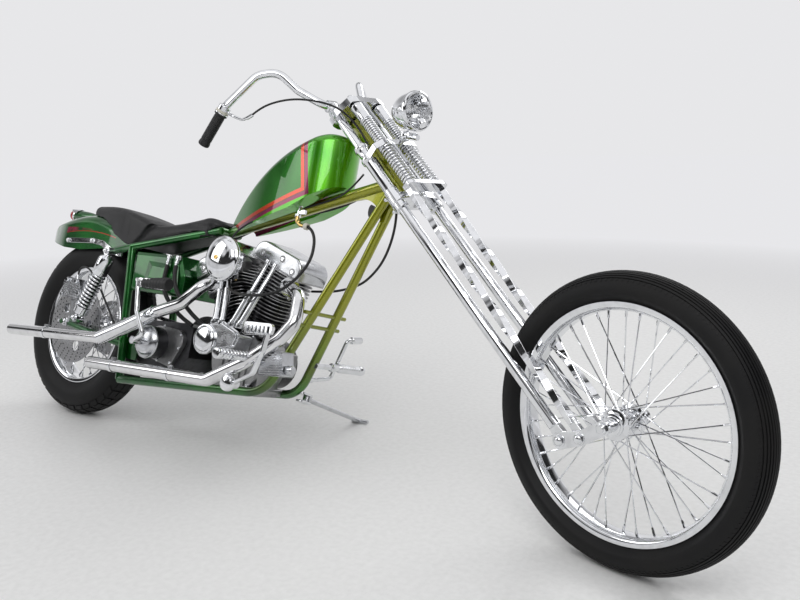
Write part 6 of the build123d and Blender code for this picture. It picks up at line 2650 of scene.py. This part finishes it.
@dataclass
class RearBrake:
    """Drilled disc and finned caliper at the rear wheel.

    Attributes:
        plane: The disc's middle from the machine's, less than zero on the right.
        half: Half the disc's thickness.
        hole_rings: Radius and number of holes of each ring.
        bolt_circle: Radius of the ring of bolts.
    """

    plane: float = -74.0
    half: float = 2.5
    hole_rings: tuple[tuple[int, int], ...] = ((96, 18), (106, 22), (116, 24), (126, 26), (136, 28))
    bolt_circle: float = 46

    def build(self) -> None:
        """Builds disc, bolts and caliper, and black dots of painted shade where the disc's holes are."""
        refined("rear_disc", "rear_disc_plate", DISC_STEEL, Body.REAR_WHEEL, Edges(0.5))
        # The drilled holes are not cut: black dots on the disc's outer face stand in for them as painted shade.
        holes = Draft(BIKE)
        hole = Draft(BIKE)
        hole.lathe([(0, -0.2), (3.0, -0.2), (3.0, 0.35), (0, 0.35)], ORIGIN, UP, 10)
        dot = hole.mesh("hole")
        place = Matrix.Translation((0, self.plane - self.half, 0)) @ Matrix.Rotation(math.radians(90), 4, "X")
        for ring, (radius, count) in enumerate(self.hole_rings):
            copy = dot.copy()
            copy.transform(Matrix.Translation((radius, 0, 0)))
            holes.join(ring_of(copy, count, ring * 120 / count), place)
        bpy.data.meshes.remove(dot)
        holes.place("rear_disc_holes", BLACK_PAINT, Body.REAR_WHEEL)
        carrier = Draft(BIKE)
        for step in range(5):
            angle = math.tau * step / 5 + 0.3
            spot = (self.bolt_circle * math.cos(angle), self.plane - self.half, self.bolt_circle * math.sin(angle))
            hex_nut(carrier, spot, RIGHT, 15, 4.5)
        carrier.place("rear_disc_bolts", CHROME, Body.REAR_WHEEL)
        self.caliper()

    def caliper(self) -> None:
        """Builds the caliper with its cooling fins, bolts and bleed nipple."""
        refined("rear_caliper", "rear_caliper_body", POLISHED, edges=Edges(2.0))
        fins = Draft(BIKE)
        fin = Draft(BIKE)
        fin.slab(round_corners([(-52, -2.2), (52, -2.2), (52, 2.2), (-52, 2.2)], 2), -3.5, 3.5)
        fins.join(
            row_of(fin.mesh("fin"), 6, (0, 0, 9)),
            Matrix.Translation((-16, -110, 98)) @ Matrix.Rotation(math.radians(8), 4, "Y"),
        )
        fins.place("caliper_fins", POLISHED, edges=Edges(0.8))
        bolts = Draft(BIKE)
        for x, z in ((-62, 98), (-42, 154), (12, 152), (40, 108)):
            hex_nut(bolts, (x, -108, z), RIGHT, 15, 8)
        bolts.lathe([(0, 0), (5, 0), (5, 8), (3.5, 9), (3.5, 18), (0, 18)], (-20, -86, 160), (-0.2, 0, 1), 18)
        bolts.place("caliper_bolts", CHROME)


@dataclass
class Chain:
    """Roller chain round the rear sprocket and the gearbox sprocket.

    Attributes:
        plane: The chain's middle, to the left of the machine's.
        rear: Radius of the chain's run round the rear sprocket.
        front: Radius round the gearbox sprocket.
        reach: From the rear axle to the gearbox sprocket.
        links: How many links of both kinds.
        pitch: From one pin to the next.
    """

    plane: float = 78.0
    rear: float = 98.0
    front: float = 45.0
    reach: float = 520.0
    links: int = 92
    pitch: float = 15.4

    def path(self) -> list[tuple[float, float, float]]:
        """The middle line of the chain, clockwise seen from the left.

        Returns:
            Its points.
        """
        lean = math.acos((self.rear - self.front) / self.reach)
        spots = []
        for step in range(25):
            angle = lean + (math.tau - 2 * lean) * step / 24
            spots.append((self.rear * math.cos(angle), self.plane, self.rear * math.sin(angle)))
        for step in range(17):
            angle = -lean + 2 * lean * step / 16
            spots.append((self.reach + self.front * math.cos(angle), self.plane, self.front * math.sin(angle)))
        return spots

    def build(self) -> None:
        """Builds the plates and rollers, and dresses the sprocket."""
        plate, roller = Draft(BIKE), Draft(BIKE)
        shape = hull_of_circles([(-self.pitch / 2, 0, 6.2), (self.pitch / 2, 0, 6.2)], 20)
        for y in (-6.2, 6.2):
            plate.slab(shape, y - 0.9, y + 0.9)
        roller.lathe([(0, -6), (5, -6), (5, 6), (0, 6)], ORIGIN, LEFT, 12)
        roller.lathe([(0, -9), (2.4, -9), (2.4, 9), (0, 9)], ORIGIN, LEFT, 8)
        chain = Draft(BIKE)
        chain.join(along_path(plate.mesh("plate"), self.path(), self.links))
        chain.place("chain_plates", STEEL, replaces=["drive_chain"])
        rollers = Draft(BIKE)
        rollers.join(along_path(roller.mesh("roller"), self.path(), self.links))
        rollers.place("chain_rollers", WORN_CHROME)
        refined("rear_sprocket", "rear_sprocket_plate", STEEL, Body.REAR_WHEEL, Edges(0.5))
        bolts = Draft(BIKE)
        for step in range(5):
            angle = math.tau * step / 5
            hex_nut(bolts, (52 * math.cos(angle), 81, 52 * math.sin(angle)), LEFT, 16, 7)
        bolts.place("rear_sprocket_bolts", CHROME, Body.REAR_WHEEL)


class Exhausts:
    """Two chrome exhaust pipes with clamps, flanges and a heat sleeve."""

    def build(self) -> None:
        """Dresses the pipes and adds clamps, bolts, flanges and the sleeve."""
        for name in ("front", "rear"):
            refined(f"exhaust_{name}", f"exhaust_{name}_pipe", PIPE_CHROME, edges=Edges(0.0, 50))
        clamps, bolts = Draft(BIKE), Draft(BIKE)
        spots = (
            ((700, -190, -91), (-1, 0, -0.05)), ((420, -190, -106), (-1, 0, -0.05)),
            ((430, -178, 27), (-0.85, -0.14, -0.5)), ((20, -195, -46), (-1, 0, -0.06)),
        )
        for spot, way in spots:
            clamps.lathe([(20.1, -7), (22, -7), (22, 7), (20.1, 7)], spot, way, 44, loop=True)
            hex_nut(bolts, Vector(spot) + Vector((0, 8, 24)), RIGHT, 11, 18)
        for spot, way in (((1004, -56, 231), (0.87, -0.45, -0.2)), ((690, -70, 213), (0, -1, -0.1))):
            clamps.lathe([(20, -4), (30, -4), (31, 0), (30, 5), (20, 5)], spot, way, 44, loop=True)
            for side in SIDES:
                hex_nut(bolts, Vector(spot) + Vector((0, 0, side * 34)), way, 12, 14)
        clamps.place("exhaust_clamps", CHROME, edges=Edges(0.6))
        bolts.place("exhaust_bolts", STEEL)
        sleeve = Draft(BIKE)
        run = [(548, -164.5, 88), (440, -178, 30), (331, -195, -26)]
        sleeve.tube(rounded(run, 30), 23.5, 44)
        sleeve.place("exhaust_heat_sleeve", CHROME, edges=Edges(1.2))


def refined_controls() -> None:
    """Dresses the side stand and the kick lever, and adds the kick pedal."""
    refined("side_stand", "side_stand_leg", POLISHED, Body.STAND, Edges(1.2))
    refined("kick_lever", "kick_lever_arm", CHROME, edges=Edges(0.8, 40))
    barrel = Draft(BIKE)
    profile = [(0, 0), (14, 0), (17, 3)]
    for ring in range(7):
        start, radius = 6 + ring * 15.4, 17.6 + ring * 0.65
        profile += [
            (radius - 1.4, start), (radius, start + 1.6), (radius, start + 11.6), (radius - 1.4, start + 13.2),
        ]
    barrel.lathe(profile + [(20, 115), (17, 119), (0, 120)], (530, -211, 174), (1, 0, 0.06), 36)
    barrel.place("kick_pedal_rubber", GRIP_RUBBER)
    stub = Draft(BIKE)
    stub.tube([(520, -211, 173.5), (532, -211, 174.2)], 9.5, 24)
    stub.lathe([(0, -9), (15, -9), (16, -7), (16, 7), (15, 9), (0, 9)], (512, -207, 176), LEFT, 28)
    stub.place("kick_pedal_stub", CHROME)


class ForwardControls:
    """Forward foot controls: ribbed brake pedal, finned cylinder block and foot pegs."""

    def peg(self, sheet: Draft, x: float, side: int) -> None:
        """Draws a ribbed foot peg across the machine.

        Args:
            sheet: Where it is drawn.
            x: Its place ahead of the rear axle.
            side: 1 on the left, -1 on the right.
        """
        profile = [(0, 0), (9, 0), (9, 22), (14, 24), (14, 40), (10, 44), (10, 58), (13, 60)]
        for ring in range(8):
            start = 64 + ring * 13.0
            profile += [(13.0, start), (14.6, start + 1.2), (14.6, start + 8.8), (13.0, start + 10.0)]
        profile += [(15.4, 170), (16, 172), (16, 184), (14, 187), (0, 188)]
        sheet.lathe(profile, (x, side * 112, 8), (0, side, 0), 32)

    def right(self) -> None:
        """Builds the right side."""
        sheet = Draft(BIKE)
        self.peg(sheet, 1000, -1)
        arm = rounded([(1092, -205, 84), (1084, -205, 30), (1056, -200, -36), (966, -186, -78)], 26)
        sheet.sweep(arm, rectangle(9, 17, 3), up=LEFT)
        sheet.lathe(
            [(0, 0), (16, 0), (16, 24), (24, 27), (25, 30), (25, 38), (23, 44), (16, 48), (0, 49)], (957, -158, -76),
            RIGHT, 44,
        )
        sheet.slab(
            round_corners([(998, 76), (1008, 108), (1108, 112), (1116, 100), (1112, 80), (1014, 70)], 9), -204, -216,
        )
        rib = Draft(BIKE)
        rib.slab(round_corners([(-4.6, -13), (4.6, -13), (4.6, 13), (-4.6, 13)], 3.5), -3, 3)
        sheet.join(row_of(rib.mesh("rib"), 6, (15.4, 0, 0.9)), Matrix.Translation((1020, -218, 89)))
        sheet.tube([(1020, -88, -4), (1020, -178, -4)], 8, 24)
        sheet.place("right_foot_controls", CHROME, replaces=["right_controls"], edges=Edges(0.8))
        block = Draft(BIKE)
        block.slab(round_corners([(1020, -42), (1114, -30), (1098, 40), (1024, 32)], 6), -92, -142)
        fin = Draft(BIKE)
        fin.slab(round_corners([(-42, -1.5), (42, -1.5), (42, 1.5), (-42, 1.5)], 1.2), -4, 4)
        block.join(
            row_of(fin.mesh("fin"), 9, (-0.5, 0, 7.0)),
            Matrix.Translation((1066, -145, -30)) @ Matrix.Rotation(math.radians(-7), 4, "Y"),
        )
        block.lathe([(0, 0), (13, 0), (14, 3), (14, 20), (11, 24), (0, 25)], (1112, -122, -12), (1, 0, 0.1), 28)
        block.place("brake_cylinder_block", POLISHED, edges=Edges(0.8))

    def left(self) -> None:
        """Builds the left side."""
        sheet = Draft(BIKE)
        self.peg(sheet, 1060, 1)
        sheet.tube(rounded([(1020, 96, -40), (1020, 190, -30), (1060, 196, 100), (1060, 222, 103)], 16), 7, 20)
        sheet.lathe([(0, 0), (8, 0), (12, 3), (12, 48), (9, 52), (0, 52)], (1060, 214, 102), (0, 1, 0.1), 28)
        sheet.tube([(1060, 60, 8), (1060, 116, 8)], 9, 24)
        sheet.tube([(1020, 64, -40), (1020, 100, -40)], 10, 24)
        sheet.place("left_foot_controls", CHROME, replaces=["left_controls"], edges=Edges(0.8))

    def build(self) -> None:
        """Builds both sides."""
        self.right()
        self.left()


@dataclass(frozen=True)
class Hose:
    """A hose or cable that the machine holds all along its route.

    Attributes:
        name: Name of the piece.
        points: Control points in the machine's millimetres, end to end.
        radius: Its radius.
        finish: What it is finished in.
        stance: The frame that its points are in.
        body: The body that carries it.
    """

    name: str
    points: tuple[tuple[float, float, float], ...]
    radius: float
    finish: Finish
    stance: Stance = BIKE
    body: Body = Body.CHASSIS

    def build(self) -> None:
        """Lays the hose as a smooth spline."""
        curve = bpy.data.curves.new(self.name, "CURVE")
        curve.dimensions = "3D"
        curve.bevel_depth = self.radius * MM
        curve.bevel_resolution = 6
        curve.resolution_u = 14
        curve.use_fill_caps = True
        spline = curve.splines.new("NURBS")
        spline.points.add(len(self.points) - 1)
        for point, spot in zip(spline.points, self.points):
            point.co = (*(self.stance.matrix @ Vector(spot)), 1.0)
        spline.order_u = 3
        spline.use_endpoint_u = True
        curve.materials.append(self.finish.material())
        piece = bpy.data.objects.new(self.name, curve)
        bpy.context.scene.collection.objects.link(piece)
        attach(piece, self.body.value)


HOSES = (
    Hose(
        "fuel_hose",
        (
            (1036, -60, 418), (1056, -60, 412), (1082, -66, 376), (1092, -80, 316), (1066, -92, 262),
            (1022, -104, 216),
            (976, -128, 192), (900, -132, 184), (838, -130, 190), (812, -120, 214), (806, -116, 232),
        ),
        4.6, HOSE_RUBBER,
    ),
    Hose(
        "oil_feed_hose",
        (
            (512, -122, 250), (512, -124, 228), (510, -124, 190), (522, -118, 150), (560, -106, 112), (600, -96, 84),
            (640, -84, 66),
        ),
        7.0, HOSE_RUBBER,
    ),
    Hose(
        "oil_return_hose",
        (
            (556, -122, 250), (557, -124, 226), (566, -122, 184), (592, -112, 146), (630, -100, 112), (668, -90, 86),
            (700, -84, 70),
        ),
        7.0, HOSE_RUBBER,
    ),
    Hose(
        "throttle_cable",
        (
            (1196, -34, 588), (1150, -30, 536), (1076, -26, 506), (966, -28, 478), (880, -36, 462), (812, -60, 430),
            (772, -96, 380), (772, -112, 330), (764, -116, 300),
        ),
        3.0, HOSE_RUBBER,
    ),
    Hose(
        "wiring_loom",
        (
            (1208, 24, 566), (1150, 22, 526), (1070, 20, 494), (960, 20, 470), (840, 20, 446), (720, 20, 404),
            (640, 18, 366),
        ),
        4.5, HOSE_RUBBER,
    ),
    Hose(
        "rear_brake_hose",
        (
            (-20, -86, 178), (-22, -86, 196), (10, -88, 214), (70, -92, 196), (150, -88, 120), (250, -88, 20),
            (340, -84, -52), (420, -88, -90),
        ),
        3.4, HOSE_RUBBER,
    ),
    Hose(
        "throttle_cable_upper",
        (
            (-108, -273, 1327), (-88, -262, 1327), (-50, -238, 1316), (-4, -202, 1284), (26, -160, 1246),
            (42, -122, 1212), (44, -92, 1180),
            (34, -66, 1146), (22, -51, 1112), (12, -45, 1076), (6, -41, 1040), (3, -40.5, 1008), (2, -40, 978),
        ),
        3.0, HOSE_RUBBER, FORK, Body.FORK,
    ),
    Hose(
        "clutch_cable",
        (
            (1240, 24, 560), (1276, 24, 540), (1302, 12, 500), (1311, 6, 446), (1302, 10, 392), (1272, 26, 340),
            (1222, 50, 300), (1170, 76, 276), (1116, 93, 261), (1060, 95, 246), (1012, 92, 240), (968, 88, 236),
        ),
        3.8, HOSE_RUBBER,
    ),
)


CAD_FINISHES = {
    "frame_backbone": FRAME_GREEN, "frame_downtubes": FRAME_GREEN, "frame_lower_rails": FRAME_GREEN,
    "frame_rear": FRAME_GREEN, "swingarm": GREEN, "oil_tank": GREEN, "fuel_tank": TANK_GREEN,
    "rear_fender": FENDER_GREEN, "seat": LEATHER, "tail_lamp": RED_LENS, "crankcase": CAST, "cylinder_front": IRON,
    "cylinder_rear": IRON, "rocker_box_front": POLISHED, "rocker_box_rear": POLISHED, "cam_cover": POLISHED,
    "carburettor": CAST, "primary_case": BLACK_PAINT, "gearbox": CAST, "drive_chain": STEEL, "rear_disc": DISC_STEEL,
    "rear_sprocket": STEEL, "rear_caliper": POLISHED, "grips": GRIP_RUBBER,
}


def dress_frame() -> None:
    """Gives every solid of the frame its finish."""
    for name, node in frame["nodes"].items():
        node.data.materials.clear()
        node.data.materials.append(CAD_FINISHES.get(name, CHROME).material())


@dataclass(frozen=True)
class Studio:
    """Floor, lamps and camera.

    Attributes:
        eye: The camera's place.
        yaw: Its heading, in degrees.
        pitch: How far it looks down, in degrees.
        roll: Its roll, in degrees.
        lens: Focal length in millimetres.
    """

    eye: tuple[float, float, float] = (1.644, -1.926, 0.995)
    yaw: float = -35.73
    pitch: float = 11.6
    roll: float = -1.17
    lens: float = 36.3

    def camera(self) -> None:
        """Stands the camera where the photograph was taken."""
        yaw, pitch, roll = (math.radians(angle) for angle in (self.yaw, self.pitch, self.roll))
        ahead = Vector((math.sin(yaw), math.cos(yaw), 0))
        right = Vector((math.cos(yaw), -math.sin(yaw), 0))
        up = Vector((0, 0, 1))
        looking = ahead * math.cos(pitch) - up * math.sin(pitch)
        top = up * math.cos(pitch) + ahead * math.sin(pitch)
        side = right * math.cos(roll) + top * math.sin(roll)
        top = top * math.cos(roll) - right * math.sin(roll)
        lens = bpy.data.cameras.new("camera")
        lens.lens, lens.sensor_width = self.lens, 36.0
        camera = bpy.data.objects.new("camera", lens)
        camera.matrix_world = Matrix.Translation(self.eye) @ Matrix((side, top, -looking)).transposed().to_4x4()
        bpy.context.scene.collection.objects.link(camera)
        bpy.context.scene.camera = camera

    def lamp(self, name: str, place: Point, aim: Point, size: tuple[float, float], power: float) -> None:
        """Hangs one soft box.

        Args:
            name: Name of the lamp.
            place: Its middle.
            aim: What it faces.
            size: Its width and height.
            power: Its power in watts.
        """
        light = bpy.data.lights.new(name, "AREA")
        light.shape, light.size, light.size_y, light.energy = "RECTANGLE", size[0], size[1], power
        box = bpy.data.objects.new(name, light)
        box.matrix_world = Matrix.Translation(place) @ (
            Vector(aim) - Vector(place)
        ).to_track_quat("-Z", "Y").to_matrix().to_4x4()
        bpy.context.scene.collection.objects.link(box)

    def floor(self) -> None:
        """Lays a pale floor that shows white to the camera and keeps the shadow."""
        mesh = bpy.data.meshes.new("floor")
        mesh.from_pydata([(-30, -30, 0), (30, -30, 0), (30, 30, 0), (-30, 30, 0)], [], [(0, 1, 2, 3)])
        sheet = bpy.data.objects.new("floor", mesh)
        shader = Shader("pale_floor")
        grain = shader.grain(60.0, 3.0)
        shader.set(
            Base_Color=shader.mix(grain.ramp(0.3, 0.7), (0.8, 0.8, 0.79), (0.74, 0.74, 0.73)),
            Roughness=grain.ramp(0.3, 0.7, 0.35, 0.5),
        )
        spot = shader.parts(shader.place())
        away = (spot[0] * spot[0] + spot[1] * spot[1]).ramp(3.0, 30.0)
        path = shader.tree.nodes.new("ShaderNodeLightPath").outputs
        camera, glossy, through = (
            Value(shader, path[f"Is {ray} Ray"]) for ray in ("Camera", "Glossy", "Transmission")
        )
        seen = camera.maximum(glossy).maximum(through)
        plain = shader.tree.nodes.new("ShaderNodeEmission")
        plain.inputs["Color"].default_value = (0.8, 0.8, 0.82, 1.0)
        joined = shader.tree.nodes.new("ShaderNodeMixShader")
        shader.feed(joined.inputs[0], away * seen)
        shader.tree.links.new(shader.surface.outputs[0], joined.inputs[1])
        shader.tree.links.new(plain.outputs[0], joined.inputs[2])
        shader.tree.links.new(joined.outputs[0], shader.tree.nodes["Material Output"].inputs["Surface"])
        mesh.materials.append(shader.material)
        bpy.context.scene.collection.objects.link(sheet)

    def world(self) -> None:
        """Surrounds the object with a pale horizon, a dim band with soft windows and a bright ceiling."""
        world = bpy.data.worlds.new("room")
        world.use_nodes = True
        room = Nodes(world.node_tree)
        way = Value(room, room.coordinates.outputs["Generated"])
        across, deep, height = room.parts(way)
        yaw = math.radians(self.yaw)
        beyond = (across * math.sin(yaw) + deep * math.cos(yaw)).ramp(0.3, 0.5)
        windows = room.grain(2.3, 1.0, way).ramp(0.5, 0.58, 0.02, 0.7)
        level = room.blend(height.ramp(0.34, 0.44), 0.03, windows)
        level = room.blend(height.ramp(0.13, 0.16), 0.62, level)
        level = room.blend(beyond, level, height.ramp(0.25, 0.5, 0.8, 0.35))
        level = room.blend(height.ramp(0.66, 0.8), level, 0.95)
        room.feed(
            room.tree.nodes["Background"].inputs["Color"],
            room.node("CombineColor", Red=level, Green=level, Blue=level * 1.02),
        )
        room.tree.nodes["Background"].inputs["Strength"].default_value = 1.0
        bpy.context.scene.world = world

    def build(self) -> None:
        """Sets up everything round the object."""
        bpy.context.scene.view_settings.view_transform = "Standard"
        self.camera()
        self.floor()
        self.world()
        self.lamp("key", (1.6, -2.6, 3.2), (0, 0, 0.4), (2.4, 1.6), 46.0)
        self.lamp("fill", (-2.8, -2.2, 2.4), (-0.4, 0, 0.5), (1.6, 2.4), 26.0)
        self.lamp("back", (0.4, 3.0, 2.8), (0, 0, 0.5), (3.0, 1.2), 34.0)


def main() -> None:
    """Builds the machine and its surroundings."""
    logging.basicConfig(level=logging.INFO, format="%(name)s: %(message)s")
    Studio().build()
    dress_frame()
    parts = (
        FRONT_WHEEL, REAR_WHEEL, SpringerFork(), Headlamp(), Handlebar(), Engine(), Petcock(), Tank(), Seat(),
        Fender(), OilTank(), FrameDress(), Shock(1), Shock(-1), RearBrake(), Chain(), Exhausts(), ForwardControls(),
    )
    for part in parts:
        part.build()
    refined_controls()
    for hose in HOSES:
        hose.build()


if __name__ == "__main__":
    main()
